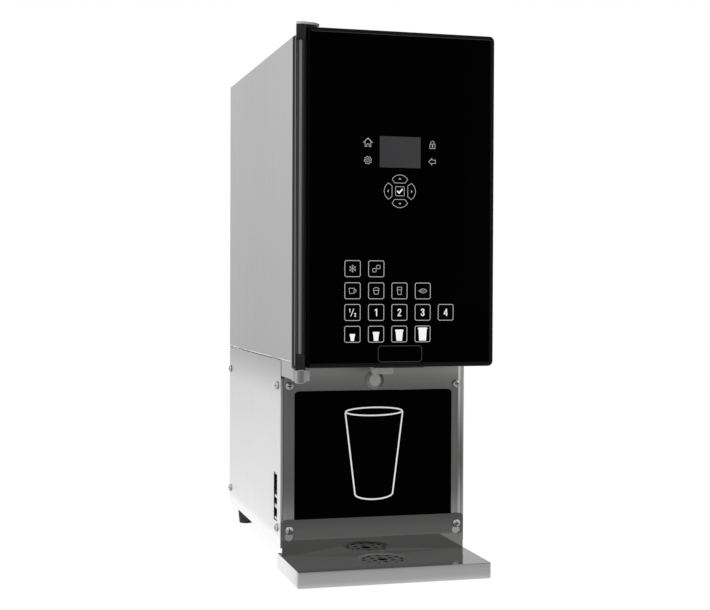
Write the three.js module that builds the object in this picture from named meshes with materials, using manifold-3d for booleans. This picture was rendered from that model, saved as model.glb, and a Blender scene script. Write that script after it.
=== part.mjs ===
// Countertop dispenser that portions chilled cream into coffee cups.
// An insulated cabinet with a glass-fronted door stands on a narrower base,
// and a lift-off drip tray hangs below the outlet.
// Millimetres, +Z up. The front faces -Y and the door's hinge is on the left.

import * as THREE from 'three';
import { mergeVertices } from 'three/addons/utils/BufferGeometryUtils.js';
import Module from 'manifold-3d';

const wasm = await Module();
wasm.setup();

// Shared sheet metal, clearances and cuts
const SHEET = 1.2;
const FIT_GAP = 0.3;
const OVERRUN = 3;
const EDGE_BEVEL = 0.8;
const WELD_DISTANCE = 0.0001;

// Facets round turned shapes
const TUBE_SIDES = 6;
const HOLE_SIDES = 8;
const SCREW_SIDES = 10;
const SMALL_SIDES = 12;
const ROUND_SIDES = 20;
const WIDE_SIDES = 28;
const BEND_STEPS = 3;

// Cabinet
const CABINET_WIDTH = 225;
const CABINET_DEPTH = 405.4;
const CABINET_HEIGHT = 364.4;
const CABINET_BEND = 2.4;
const FRONT_RETURN = 13;
const SIDE_FOAM = 25;
const TOP_FOAM = 24;
const FLOOR_FOAM = 25;
const BACK_FOAM = 30;
const LINER_WALL = 1.6;
const LINER_CORNER = 9;
const RAIL_HEIGHT = 3.2;
const RAIL_WIDTH = 5;
const RAIL_INSET = 30;
const TUBE_SLOT_WIDTH = 18;
const TUBE_SLOT_LENGTH = 32;

// Base under the cabinet
const COVER_HEIGHT = 219.4;
const COVER_RIM = 6;
const COVER_TOP_CORNER = 4;
const COVER_BOTTOM_CORNER = 16;
const COVER_BEND = 1.6;
const SEAM_GAP = 0.5;
const CUP_BAY_DEPTH = 57.2;
const COVER_SETBACK = 1.5;
const POST_SIDE_LEG = 26;
const POST_FRONT_LEG = 16;
const POST_SHEET = 1.5;

// Feet
const FOOT_HEIGHT = 28.7;
const FOOT_TOP_RADIUS = 12.5;
const FOOT_BOTTOM_RADIUS = 9.5;
const FOOT_BEAD = 1.5;
const FOOT_INSET = 20.5;
const FRONT_FOOT_SETBACK = 32.4;
const REAR_FOOT_INSET = 17.8;

// Door
const DOOR_THICKNESS = 11;
const SEAL_GAP = 1.4;
const DOOR_OVERHANG = 9.8;
const DOOR_DROP = 5;
const DOOR_RISE = 8.5;
const DOOR_CORNER = 6;
const BEZEL = 4.5;
const HINGE_BEZEL = 2.4;
const FRAME_LEDGE = 3;
const FRAME_LEDGE_THICKNESS = 1.6;
const DRIP_LIP_DROP = 1;
const DRIP_LIP_THICKNESS = 1.5;
const GLASS_THICKNESS = 3.8;
const GLASS_CORNER = 1.5;
const PLUG_DEPTH = 23;
const PLUG_SIDE_CLEARANCE = 5;
const PLUG_TOP_CLEARANCE = 4;
const PLUG_FLOOR_CLEARANCE = 26;
const PLUG_CORNER = 12;
const PLUG_BEVEL = 3;
const GASKET_WIDTH = 7;
const GASKET_INSET = 2;
const GASKET_GROOVE = 2.5;
const GASKET_BEVEL = 1.1;

// Display and touch board behind the glass
const SCREEN_OFFSET = 1.85;
const SCREEN_DROP = 135.9;
const DISPLAY_WIDTH = 60;
const DISPLAY_HEIGHT = 45;
const DISPLAY_THICKNESS = 3.2;
const BOARD_WIDTH = 150;
const BOARD_FOOT_MARGIN = 3;
const BOARD_TOP_MARGIN = 12;
const BOARD_THICKNESS = 1.6;
const CHIP_WIDTH = 16;
const CHIP_HEIGHT = 1.8;
const CHIP_SPACING = 28;
const POCKET_MARGIN = 4;
const POCKET_DEPTH = 6;
const CHIP_COUNT = 3;

// Hinge
const HINGE_INSET = 8.5;
const HINGE_SETBACK = 6;
const CAP_RADIUS = 6;
const CAP_LENGTH = 17.3;
const CAP_OVERHANG = 2.7;
const CAP_BEVEL = 0.7;
const BAR_RADIUS = 5.3;
const BAR_WEB = 6;
const PIN_RADIUS = 2.5;
const PIN_LENGTH = 11;
const PLATE_THICKNESS = 2.6;
const PLATE_WIDTH = 27.5;
const PLATE_RISER_SETBACK = 5;
const PLATE_FOOT = 42;
const TONGUE_SWEEP = 2.2;
const TONGUE_CORNER = 6.5;
const TONGUE_LEAD = 2;
const TRIM_THICKNESS = 1.9;
const TRIM_SETBACK = 3.4;
const TRIM_DROP = 6.2;
const KNUCKLE_HEIGHT = 15;
const BRACKET_SHEET = 2;
const BRACKET_DROP = 18.7;
const BRACKET_FLANGE = 30;
const BRACKET_ARM_DEPTH = 8;
const BRACKET_ARM_WIDTH = 19.5;
const BRACKET_ARM_DROP = 20.7;
const BRACKET_ARM_CORNER = 1.5;

// Splash panel
const SPLASH_SIDE_CLEARANCE = 1.5;
const SPLASH_BEND = 6;
const SPLASH_FLANGE = 11;
const INSERT_SIDE_MARGIN = 16.3;
const INSERT_TOP_MARGIN = 37;
const INSERT_FOOT_MARGIN = 13;
const INSERT_CORNER = 5;
const INSERT_THICKNESS = 1;
const SPLASH_SCREW_INSET = 10.1;
const SPLASH_SCREW_DROP = 30.8;

// Cup lamp in the splash panel
const LAMP_DROP = 24.9;
const LAMP_RADIUS = 11.2;
const LAMP_LENS_RADIUS = 7.4;
const LAMP_BODY_RADIUS = 6.6;
const LAMP_RIM = 0.8;
const LAMP_RISE = 3.8;
const LAMP_DEPTH = 8;

// Drip tray and its pan
const TRAY_SIDE_MARGIN = 0.3;
const TRAY_HEIGHT = 17.7;
const TRAY_REACH = 23.7;
const TRAY_TUCK = 18.4;
const TRAY_CLEARANCE = 1;
const UPSTAND_CROWN = 11.9;
const UPSTAND_CORNER = 4.5;
const UPSTAND_GAP = 0.5;
const DRAIN_OFFSET = 0.5;
const DISH_RADIUS = 29;
const DISH_DEPTH = 1.6;
const DISH_SLOPE = 3;
const DRAIN_HOLE_RADIUS = 4.6;
const DRAIN_INNER_RING = 12.5;
const DRAIN_OUTER_RING = 22.5;
const DRAIN_SLOT_LENGTH = 5;
const DRAIN_SLOT_WIDTH = 2.4;
const DRAIN_INNER_COUNT = 6;
const DRAIN_OUTER_COUNT = 12;
const KEYHOLE_INSET = 9.9;
const KEYHOLE_RISE = 19.5;
const KEYHOLE_DROP = 7.9;
const KEYHOLE_RADIUS = 5.4;
const KEYHOLE_SLOT = 2.8;
const PAN_CORNER = 6;

// Screws
const SCREW_HEAD_RADIUS = 4.9;
const SCREW_HEAD_HEIGHT = 2.7;
const SCREW_SHANK_RADIUS = 2;
const SCREW_LENGTH = 11;
const SCREW_HOLE_RADIUS = 2.4;
const RECESS_WIDTH = 1.1;
const RECESS_LENGTH = 5.2;
const RECESS_DEPTH = 1.4;
const COVER_SCREW_INSET = 18.9;
const COVER_SCREW_REAR_INSET = 8.8;
const COVER_SCREW_TOP = 31;
const COVER_SCREW_BOTTOM = 21;

// Switch and sockets behind the slot of the left cover
const SLOT_SETBACK = 18.9;
const SLOT_WIDTH = 19.4;
const SLOT_RISE = 27.6;
const SLOT_HEIGHT = 57.2;
const SLOT_CORNER = 3;
const SLOT_PANEL_MARGIN = 4;
const ROCKER_HEIGHT = 21;
const ROCKER_WIDTH = 11;
const ROCKER_PIVOT_DEPTH = 10;
const ROCKER_TILT = 0.12;
const ROCKER_HEEL = 2.4;
const ROCKER_HEEL_SHARE = 1 / 4;
const SWITCH_HEIGHT = 26.5;
const SWITCH_WIDTH = 16;
const SWITCH_DEPTH = 15;
const SWITCH_TOP_MARGIN = 1.6;
const FLANGE_THICKNESS = 0.9;
const FLANGE_LAP = 1;
const DATA_SOCKET_HEIGHT = 9;
const POWER_INLET_HEIGHT = 13.4;
const SOCKET_WIDTH = 13;
const SOCKET_DEPTH = 14;
const SOCKET_WALL = 1.4;
const SOCKET_SPACE = 2.4;
const INLET_CHAMFER = 3;
const INLET_PIN_RADIUS = 1.1;
const INLET_PIN_SPACING = 4.6;
const INLET_PIN_SHARE = 1 / 3;

// Product tank
const TANK_SIDE_CLEARANCE = 12.1;
const TANK_REAR_CLEARANCE = 44.4;
const TANK_HEADROOM = 109.1;
const TANK_TAPER = 3;
const TANK_CORNER = 16;
const TANK_WALL = 2.4;
const TANK_SETBACK = 35.6;
const TANK_LIP = 3;
const TANK_LIP_HEIGHT = 3;
const LID_THICKNESS = 2.5;
const LID_GRIP_WIDTH = 60;
const LID_GRIP_DEPTH = 16;
const LID_GRIP_HEIGHT = 12;
const LID_GRIP_CORNER = 7;
const LID_STEP_CLEARANCE = 1;
const LID_STEP_HEIGHT = 4;
const SPIGOT_RADIUS = 4.2;
const SPIGOT_BORE = 2.8;
const SPIGOT_RISE = 10.5;
const SPIGOT_LENGTH = 7;

// Outlet tube and pinch valve
const TUBE_RADIUS = 4.2;
const TUBE_BORE = 2.6;
const TUBE_BEND = 8;
const OUTLET_SETBACK = 19.6;
const VALVE_WIDTH = 12.4;
const VALVE_HEIGHT = 15.3;
const VALVE_REACH = 11.7;
const NOZZLE_OFFSET = 9.4;
const NOZZLE_DROP = 1;
const NOZZLE_TOP_RADIUS = 6.4;
const NOZZLE_MOUTH_RADIUS = 3.8;
const NOZZLE_TAPER = 6;
const BOSS_RADIUS = 6;
const BOSS_REACH = 28;
const BARREL_RADIUS = 4.4;
const PLUNGER_DROP = 9.2;
const PLUNGER_RADIUS = 2.4;
const PLUNGER_CLEARANCE = 0.4;
const PLUNGER_BLADE = 3.6;
const PLUNGER_TRAVEL = 4;
const PINCH_WIDTH = 4.8;
const SOLENOID_RADIUS = 8.6;
const SOLENOID_LENGTH = 46;
const SOLENOID_SETBACK = 8;

// Refrigeration in the base
const COMPRESSOR_RADIUS = 42;
const COMPRESSOR_HEIGHT = 138;
const COMPRESSOR_SIDE_CLEARANCE = 15.7;
const COMPRESSOR_SETBACK = 150;
const COMPRESSOR_CORNER = 12;
const COMPRESSOR_BASE = 3;
const SEAM_BAND = 2.5;
const SEAM_BAND_HEIGHT = 7;
const LINE_RADIUS = 3.2;
const LINE_RISE = 30;
const CONDENSER_WIDTH = 150;
const CONDENSER_HEIGHT = 160;
const CONDENSER_DEPTH = 20;
const CONDENSER_FINS = 19;
const CONDENSER_SPINE = 5;
const CONDENSER_SETBACK = 16;
const FAN_FRAME = 120;
const FAN_DEPTH = 25;
const FAN_RIM = 3;
const FAN_LIFT = 36;
const FAN_HUB = 20;
const FAN_SPOKES = 4;
const FAN_SPOKE_WIDTH = 5;
const FAN_SPOKE_DEPTH = 4;
const FAN_BLADES = 7;
const FAN_TIP_CLEARANCE = 3;
const FAN_BLADE_THICKNESS = 1.8;
const FAN_HUB_CORNER = 3;
const SUPPLY_WIDTH = 62;
const SUPPLY_SETBACK = 45.4;
const SUPPLY_DEPTH = 130;
const SUPPLY_HEIGHT = 52;
const SUPPLY_FINS = 7;
const SUPPLY_FIN_HEIGHT = 5;
const EVAPORATOR_SIDE_MARGIN = 19.1;
const EVAPORATOR_END_MARGIN = 39.3;
const EVAPORATOR_THICKNESS = 2;
const EVAPORATOR_RUNS = 5;
const EVAPORATOR_TUBE = 3;
const BULGE_SHARE = 2 / 3;

// Rear grille
const LOUVRE_COUNT = 9;
const LOUVRE_COLUMNS = 2;
const LOUVRE_LENGTH = 78;
const LOUVRE_HEIGHT = 5;
const LOUVRE_PITCH = 16;
const LOUVRE_BOTTOM = 52;
const LOUVRE_SPACING = 92;

// Heights, from the counter up
const chassisZ = FOOT_HEIGHT + FIT_GAP;
const coverZ = [FOOT_HEIGHT - SHEET, FOOT_HEIGHT - SHEET + COVER_HEIGHT];
const cabinetZ = [coverZ[1] + SEAM_GAP, coverZ[1] + SEAM_GAP + CABINET_HEIGHT];
const cavityZ = [
  cabinetZ[0] + SHEET + FLOOR_FOAM + LINER_WALL + 2 * FIT_GAP,
  cabinetZ[1] - SHEET - TOP_FOAM - LINER_WALL - 2 * FIT_GAP,
];

// Widths, about the cabinet's centre line
const halfWidth = CABINET_WIDTH / 2;
const cavityHalf = halfWidth - SHEET - SIDE_FOAM - LINER_WALL - 2 * FIT_GAP;
const innerHalf = halfWidth - SHEET - FIT_GAP;
const chassisHalf = halfWidth - COVER_RIM - FIT_GAP;
const returnHalf = halfWidth - FRONT_RETURN;
const splashHalf = halfWidth - SPLASH_SIDE_CLEARANCE;
const insertHalf = halfWidth - INSERT_SIDE_MARGIN;
const trayHalf = halfWidth - TRAY_SIDE_MARGIN;
const tankHalf = cavityHalf - TANK_SIDE_CLEARANCE;

// Depths, back from the front of the door
const cabinetY = [DOOR_THICKNESS + SEAL_GAP, DOOR_THICKNESS + SEAL_GAP + CABINET_DEPTH];
const cavityY = [cabinetY[0], cabinetY[1] - SHEET - BACK_FOAM - LINER_WALL - 2 * FIT_GAP];
const splashY = cabinetY[0] + CUP_BAY_DEPTH;
const coverY = [splashY + COVER_SETBACK, cabinetY[1]];
const chassisY = [splashY + SHEET + FIT_GAP, cabinetY[1] - SHEET - FIT_GAP];
const outletY = cabinetY[0] + OUTLET_SETBACK;
const drainY = outletY - DRAIN_OFFSET;

// Spans

/** The span from -half to +half. */
function about(half) {
  return [-half, half];
}

/** A span moved outwards at both ends. */
function grown([low, high], by) {
  return [low - by, high + by];
}

/** A span that starts at low and is length long. */
function from(low, length) {
  return [low, low + length];
}

/** The span of a given width round a centre. */
function around(centre, width) {
  return [centre - width / 2, centre + width / 2];
}

/** The middle of a span. */
function middle([low, high]) {
  return (low + high) / 2;
}

// Outlines

/** Rectangle over two spans, with a radius for each corner from the low, low one round. */
function cornered([u0, u1], [v0, v1], [a, b, c, d]) {
  const outline = new THREE.Shape();
  outline.moveTo(u0 + a, v0);
  const corners = [
    [u1 - b, v0 + b, b, -Math.PI / 2],
    [u1 - c, v1 - c, c, 0],
    [u0 + d, v1 - d, d, Math.PI / 2],
    [u0 + a, v0 + a, a, Math.PI],
  ];
  for (const [u, v, radius, start] of corners) {
    if (radius > 0) {
      outline.absarc(u, v, radius, start, start + Math.PI / 2, false);
    } else {
      outline.lineTo(u, v);
    }
  }
  return outline;
}

/** Rectangle over two spans with one radius on all corners. */
function rounded(uSpan, vSpan, radius) {
  return cornered(uSpan, vSpan, [radius, radius, radius, radius]);
}

/** Full circle. */
function disc(u, v, radius) {
  const outline = new THREE.Shape();
  outline.absarc(u, v, radius, 0, 2 * Math.PI, false);
  return outline;
}

/** Slot with round ends, centred on u, v and running along the first axis. */
function slot(u, v, length, width) {
  return rounded(around(u, length), around(v, width), width / 2);
}

// Solids

/** Closed solid from a geometry, with its shared corners merged. */
function solid(geometry) {
  const bare = geometry.clone();
  bare.deleteAttribute('normal');
  bare.deleteAttribute('uv');
  const merged = mergeVertices(bare, WELD_DISTANCE);
  const points = merged.attributes.position.array;
  const faces = [];
  let volume = 0;
  for (let i = 0; i < merged.index.count; i += 3) {
    const [a, b, c] = merged.index.array.slice(i, i + 3);
    if (a !== b && b !== c && c !== a) {
      faces.push(a, b, c);
      const [p, q, r] = [a, b, c].map((k) => new THREE.Vector3().fromArray(points, 3 * k));
      volume += p.dot(q.cross(r));
    }
  }
  const outward = volume > 0 ? faces : faces.reverse();
  return new wasm.Manifold(
    new wasm.Mesh({
      numProp: 3,
      vertProperties: new Float32Array(points),
      triVerts: new Uint32Array(outward),
    }),
  );
}

/** Geometry of a finished solid. */
function geometryOf(body) {
  const mesh = body.getMesh();
  const geometry = new THREE.BufferGeometry();
  geometry.setAttribute('position', new THREE.BufferAttribute(mesh.vertProperties, 3));
  geometry.setIndex(new THREE.BufferAttribute(mesh.triVerts, 1));
  const faceted = geometry.toNonIndexed();
  faceted.computeVertexNormals();
  return faceted;
}

/** One solid joined from several. */
function join(first, ...others) {
  return others.reduce((body, next) => body.add(next), first);
}

/** A solid with others cut out of it. */
function cut(first, ...others) {
  return others.reduce((body, next) => body.subtract(next), first);
}

/** Box over three spans. */
function block([x0, x1], [y0, y1], [z0, z1]) {
  const geometry = new THREE.BoxGeometry(x1 - x0, y1 - y0, z1 - z0);
  geometry.translate((x0 + x1) / 2, (y0 + y1) / 2, (z0 + z1) / 2);
  return solid(geometry);
}

// The ways an outline can face: its two drawing axes and the axis it grows along.
const LEVEL = [new THREE.Vector3(1, 0, 0), new THREE.Vector3(0, 1, 0), new THREE.Vector3(0, 0, 1)];
const FRONTAL = [new THREE.Vector3(1, 0, 0), new THREE.Vector3(0, 0, 1), new THREE.Vector3(0, -1, 0)];
const SIDEWAYS = [new THREE.Vector3(0, 1, 0), new THREE.Vector3(0, 0, 1), new THREE.Vector3(1, 0, 0)];

/** Outline grown over a span of its third axis, with an optional bevel on both faces. */
function grow(outline, [low, high], facing = LEVEL, bevel = 0, curveSegments = 2) {
  const geometry = new THREE.ExtrudeGeometry(outline, {
    depth: high - low - 2 * bevel,
    curveSegments,
    steps: 1,
    bevelEnabled: bevel > 0,
    bevelThickness: bevel,
    bevelSize: bevel,
    bevelOffset: -bevel,
    bevelSegments: 1,
  });
  const start = facing === FRONTAL ? -high : low;
  geometry.translate(0, 0, start + bevel);
  geometry.applyMatrix4(new THREE.Matrix4().makeBasis(...facing));
  return solid(geometry);
}

/** Round bar along one axis with a number of sides, and an optional chamfer at both ends. */
function bar(facing, [u, v], span, radius, sides, bevel = 0) {
  return grow(disc(u, v, radius), span, facing, bevel, sides / 2);
}

/** Solid of revolution from a profile of radius and height points, standing on +Z. */
function turned(profile, segments) {
  const geometry = new THREE.LatheGeometry(
    profile.map(([radius, height]) => new THREE.Vector2(radius, height)),
    segments,
  );
  geometry.rotateX(Math.PI / 2);
  return solid(geometry);
}

/** Solid through sections that have as many points each, given as lists of 3-D points. */
function loft(sections) {
  const count = sections[0].length;
  const positions = sections.flat().flatMap((point) => point.toArray());
  const faces = [];
  for (let s = 0; s + 1 < sections.length; s += 1) {
    for (let i = 0; i < count; i += 1) {
      const a = s * count + i;
      const b = s * count + ((i + 1) % count);
      faces.push(a, b, b + count, a, b + count, a + count);
    }
  }
  const last = (sections.length - 1) * count;
  for (let i = 1; i + 1 < count; i += 1) {
    faces.push(0, i + 1, i, last, last + i, last + i + 1);
  }
  const geometry = new THREE.BufferGeometry();
  geometry.setAttribute('position', new THREE.Float32BufferAttribute(positions, 3));
  geometry.setIndex(faces);
  return solid(geometry);
}

/** Points of a rounded rectangle at one height, centred on x = 0. */
function ringAt(half, ySpan, radius, z) {
  const outline = rounded(about(half), ySpan, radius);
  return outline.getPoints(2).map((point) => new THREE.Vector3(point.x, point.y, z));
}

/** Tube of a round section with a number of sides along a curve. */
function tube(curve, radius, steps, sides, bore = 0) {
  const section = new THREE.Shape();
  section.absarc(0, 0, radius, 0, 2 * Math.PI, false);
  if (bore > 0) {
    const hole = new THREE.Path();
    hole.absarc(0, 0, bore, 0, 2 * Math.PI, true);
    section.holes.push(hole);
  }
  return solid(
    new THREE.ExtrudeGeometry(section, {
      steps,
      curveSegments: sides / 2,
      bevelEnabled: false,
      extrudePath: curve,
    }),
  );
}

// Finishes

const finishes = {
  brushedSteel: { color: 0xb9b9ba, roughness: 0.38, metalness: 1 },
  polishedSteel: { color: 0x8f8f90, roughness: 0.12, metalness: 1 },
  galvanised: { color: 0xa4a8aa, roughness: 0.5, metalness: 0.9 },
  blackFrame: { color: 0x161617, roughness: 0.38, metalness: 0.1 },
  blackGlass: { color: 0x020202, roughness: 0.05, metalness: 0 },
  blackPlastic: { color: 0x141414, roughness: 0.5, metalness: 0 },
  blackRubber: { color: 0x1b1b1b, roughness: 0.8, metalness: 0 },
  greyCast: { color: 0x8d8d8d, roughness: 0.45, metalness: 0.4 },
  palePlastic: { color: 0xc9c9c6, roughness: 0.5, metalness: 0 },
  foam: { color: 0xd8cfa8, roughness: 0.95, metalness: 0 },
  liner: { color: 0xe8e8e6, roughness: 0.4, metalness: 0 },
  silicone: { color: 0xe4e6e2, roughness: 0.35, metalness: 0 },
  board: { color: 0x1d4a30, roughness: 0.6, metalness: 0 },
  aluminium: { color: 0xbfc2c4, roughness: 0.4, metalness: 0.9 },
  frosted: { color: 0xa8a8a8, roughness: 0.5, metalness: 0 },
};

/** Named mesh of one sub-part. */
function piece(name, body, finish, parent) {
  const material = new THREE.MeshStandardMaterial(finishes[finish]);
  const mesh = new THREE.Mesh(geometryOf(body), material);
  mesh.name = name;
  parent.add(mesh);
  return mesh;
}

// Screws

/** Pan-head screw with a cross recess; the head's seat is at the origin and the head points to +Z. */
function panScrew() {
  const crown = SCREW_HEAD_HEIGHT;
  const profileShares = [[1, 0], [1, 0.3], [0.9, 0.65], [0.6, 0.92]];
  const head = profileShares.map(([r, h]) => [r * SCREW_HEAD_RADIUS, h * crown]);
  const body = turned(
    [[0, -SCREW_LENGTH], [SCREW_SHANK_RADIUS, -SCREW_LENGTH], [SCREW_SHANK_RADIUS, 0], ...head, [0, crown]],
    SCREW_SIDES,
  );
  const floor = [crown - RECESS_DEPTH, crown + OVERRUN];
  const along = block(about(RECESS_LENGTH / 2), about(RECESS_WIDTH / 2), floor);
  const across = block(about(RECESS_WIDTH / 2), about(RECESS_LENGTH / 2), floor);
  return cut(body, along, across);
}

const screwBody = panScrew();

/** A screw at a place, with its head pointing along a direction. */
function screw(name, place, direction, parent) {
  const mesh = piece(name, screwBody, 'brushedSteel', parent);
  mesh.position.set(...place);
  mesh.quaternion.setFromUnitVectors(new THREE.Vector3(0, 0, 1), new THREE.Vector3(...direction));
  return mesh;
}

// Cabinet

/** Folded outer wrapper: two sides and the top, with returns round the front opening. */
function cabinetShell() {
  const bend = CABINET_BEND;
  const inside = bend - SHEET;
  const outer = grow(cornered(about(halfWidth), cabinetZ, [0, 0, bend, bend]), cabinetY, FRONTAL);
  const innerZ = [cabinetZ[0] - OVERRUN, cabinetZ[1] - SHEET];
  const inner = grow(
    cornered(about(halfWidth - SHEET), innerZ, [0, 0, inside, inside]),
    [cabinetY[0] + SHEET, cabinetY[1] + OVERRUN],
    FRONTAL,
  );
  const opening = block(
    about(returnHalf),
    from(cabinetY[0] - OVERRUN, SHEET + 2 * OVERRUN),
    [cabinetZ[0] - OVERRUN, cabinetZ[1] - FRONT_RETURN],
  );
  return cut(outer, inner, opening);
}

/** Slot through the cabinet's floor for the outlet tube, over a span of heights. */
function tubeSlot(zSpan, margin = 0) {
  const ySpan = grown(from(outletY - TUBE_SLOT_WIDTH / 2, TUBE_SLOT_LENGTH), margin);
  const half = TUBE_SLOT_WIDTH / 2 + margin;
  return grow(rounded(about(half), ySpan, half), zSpan, LEVEL);
}

/** Floor sheet with an upturned front edge. */
function cabinetFloor() {
  const sheetZ = from(cabinetZ[0], SHEET);
  const plate = block(about(innerHalf), [cabinetY[0] + SHEET + FIT_GAP, chassisY[1]], sheetZ);
  const frontY = [cabinetY[0], cabinetY[0] + 2 * SHEET + FIT_GAP];
  const tongue = block(about(returnHalf - FIT_GAP), frontY, sheetZ);
  const upturnY = from(cabinetY[0], SHEET);
  const upturn = block(about(returnHalf - FIT_GAP), upturnY, from(cabinetZ[0], FRONT_RETURN));
  return cut(join(plate, tongue, upturn), tubeSlot(grown(sheetZ, OVERRUN)));
}

/** Back sheet between the wrapper's sides. */
function cabinetBack() {
  const zSpan = [cabinetZ[0] + SHEET + FIT_GAP, cabinetZ[1] - SHEET - FIT_GAP];
  return grow(rounded(about(innerHalf), zSpan, CABINET_BEND), from(cabinetY[1] - SHEET, SHEET), FRONTAL);
}

/** Foam between the wrapper and the liner. */
function insulation() {
  const foamY = [cabinetY[0] + LINER_WALL + FIT_GAP, chassisY[1]];
  const foamZ = [cabinetZ[0] + SHEET + FIT_GAP, cabinetZ[1] - SHEET - FIT_GAP];
  const room = LINER_WALL + FIT_GAP;
  const body = grow(cornered(about(innerHalf), foamZ, [0, 0, CABINET_BEND, CABINET_BEND]), foamY, FRONTAL);
  const hollow = grow(
    rounded(about(cavityHalf + room), grown(cavityZ, room), LINER_CORNER + room),
    [foamY[0] - OVERRUN, cavityY[1] + room],
    FRONTAL,
  );
  return cut(body, hollow, tubeSlot([foamZ[0] - OVERRUN, cavityZ[0]], FIT_GAP));
}

/** Moulded liner: the cold cavity, its face flange and the rails that carry the tank. */
function liner() {
  const outer = grow(
    rounded(about(cavityHalf + LINER_WALL), grown(cavityZ, LINER_WALL), LINER_CORNER + LINER_WALL),
    [cavityY[0], cavityY[1] + LINER_WALL],
    FRONTAL,
  );
  const faceZ = [cabinetZ[0] + FRONT_RETURN + FIT_GAP, cabinetZ[1] - FRONT_RETURN - FIT_GAP];
  const face = block(about(returnHalf - FIT_GAP), from(cavityY[0], LINER_WALL), faceZ);
  const hollow = grow(
    rounded(about(cavityHalf), cavityZ, LINER_CORNER),
    [cavityY[0] - OVERRUN, cavityY[1]],
    FRONTAL,
  );
  const slotCut = tubeSlot([cavityZ[0] - LINER_WALL - OVERRUN, cavityZ[0] + OVERRUN]);
  const shell = cut(join(outer, face), hollow, slotCut);
  const railY = [tankY[0], tankY[1]];
  const rails = [-1, 1].map((side) => {
    const xSpan = around(side * (tankHalf - RAIL_INSET), RAIL_WIDTH);
    return block(xSpan, railY, [cavityZ[0] - LINER_WALL / 2, cavityZ[0] + RAIL_HEIGHT]);
  });
  return join(shell, ...rails);
}

/** Cold plate on the back wall of the cavity, with its serpentine tube. */
function evaporator() {
  const plateY = [cavityY[1] - FIT_GAP - EVAPORATOR_THICKNESS, cavityY[1] - FIT_GAP];
  const plateZ = grown(cavityZ, -EVAPORATOR_END_MARGIN);
  const plateHalf = cavityHalf - EVAPORATOR_SIDE_MARGIN;
  const plate = grow(rounded(about(plateHalf), plateZ, LINER_CORNER), plateY, FRONTAL);
  const pitch = (plateZ[1] - plateZ[0]) / (EVAPORATOR_RUNS + 1);
  const reach = plateHalf - pitch;
  const route = new THREE.CurvePath();
  const y = plateY[0] - EVAPORATOR_TUBE / 2;
  for (let run = 0; run < EVAPORATOR_RUNS; run += 1) {
    const side = run % 2 === 0 ? 1 : -1;
    const z = plateZ[0] + pitch * (run + 1);
    const start = new THREE.Vector3(-side * reach, y, z);
    const end = new THREE.Vector3(side * reach, y, z);
    route.add(new THREE.LineCurve3(start, end));
    if (run + 1 < EVAPORATOR_RUNS) {
      const bulge = side * pitch * BULGE_SHARE;
      const next = new THREE.Vector3(side * reach, y, z + pitch);
      const leaving = end.clone().add(new THREE.Vector3(bulge, 0, 0));
      const arriving = next.clone().add(new THREE.Vector3(bulge, 0, 0));
      route.add(new THREE.CubicBezierCurve3(end, leaving, arriving, next));
    }
  }
  return join(plate, tube(route, EVAPORATOR_TUBE, BEND_STEPS * 2 * EVAPORATOR_RUNS, TUBE_SIDES));
}

// Tank

const tankY = [cabinetY[0] + TANK_SETBACK, cavityY[1] - TANK_REAR_CLEARANCE];
const tankZ = [cavityZ[0] + RAIL_HEIGHT + FIT_GAP, cavityZ[1] - TANK_HEADROOM];
const spigotZ = tankZ[0] + SPIGOT_RISE;

/** Tapered bin with a lip round its top and a spigot low on its front. */
function productTank() {
  const outer = loft([
    ringAt(tankHalf - TANK_TAPER, grown(tankY, -TANK_TAPER), TANK_CORNER - TANK_TAPER, tankZ[0]),
    ringAt(tankHalf, tankY, TANK_CORNER, tankZ[1]),
  ]);
  const insideCorner = TANK_CORNER - TANK_WALL;
  const inside = TANK_TAPER + TANK_WALL;
  const inner = loft([
    ringAt(tankHalf - inside, grown(tankY, -inside), insideCorner - TANK_TAPER, tankZ[0] + TANK_WALL),
    ringAt(tankHalf - TANK_WALL, grown(tankY, -TANK_WALL), insideCorner, tankZ[1]),
    ringAt(tankHalf - TANK_WALL, grown(tankY, -TANK_WALL), insideCorner, tankZ[1] + OVERRUN),
  ]);
  const lip = grow(
    rounded(about(tankHalf + TANK_LIP), grown(tankY, TANK_LIP), TANK_CORNER + TANK_LIP),
    [tankZ[1] - TANK_LIP_HEIGHT, tankZ[1]],
  );
  const spigotY = [tankY[0] - SPIGOT_LENGTH, tankY[0] + TANK_CORNER / 2];
  const spigot = bar(FRONTAL, [0, spigotZ], spigotY, SPIGOT_RADIUS, SMALL_SIDES);
  const bore = bar(FRONTAL, [0, spigotZ], grown(spigotY, OVERRUN), SPIGOT_BORE, SMALL_SIDES);
  return cut(join(outer, lip, spigot), inner, bore);
}

/** Flat lid with a step that locates inside the tank and a raised grip. */
function tankLid() {
  const lidZ = from(tankZ[1] + FIT_GAP, LID_THICKNESS);
  const cover = grow(
    rounded(about(tankHalf + TANK_LIP), grown(tankY, TANK_LIP), TANK_CORNER + TANK_LIP),
    lidZ,
    LEVEL,
    EDGE_BEVEL,
  );
  const inside = TANK_WALL + LID_STEP_CLEARANCE;
  const step = grow(
    rounded(about(tankHalf - inside), grown(tankY, -inside), TANK_CORNER - inside),
    [lidZ[0] - LID_STEP_HEIGHT, middle(lidZ)],
  );
  const gripY = around(middle(tankY), LID_GRIP_DEPTH);
  const grip = grow(
    rounded(about(LID_GRIP_WIDTH / 2), gripY, LID_GRIP_CORNER),
    [middle(lidZ), lidZ[1] + LID_GRIP_HEIGHT],
    LEVEL,
    EDGE_BEVEL,
  );
  return join(cover, step, grip);
}

// Outlet

const valveZ = [cabinetZ[0] - FIT_GAP - VALVE_HEIGHT, cabinetZ[0] - FIT_GAP];
const plungerZ = cabinetZ[0] - PLUNGER_DROP;
const barrelEndY = splashY + SOLENOID_SETBACK;

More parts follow.
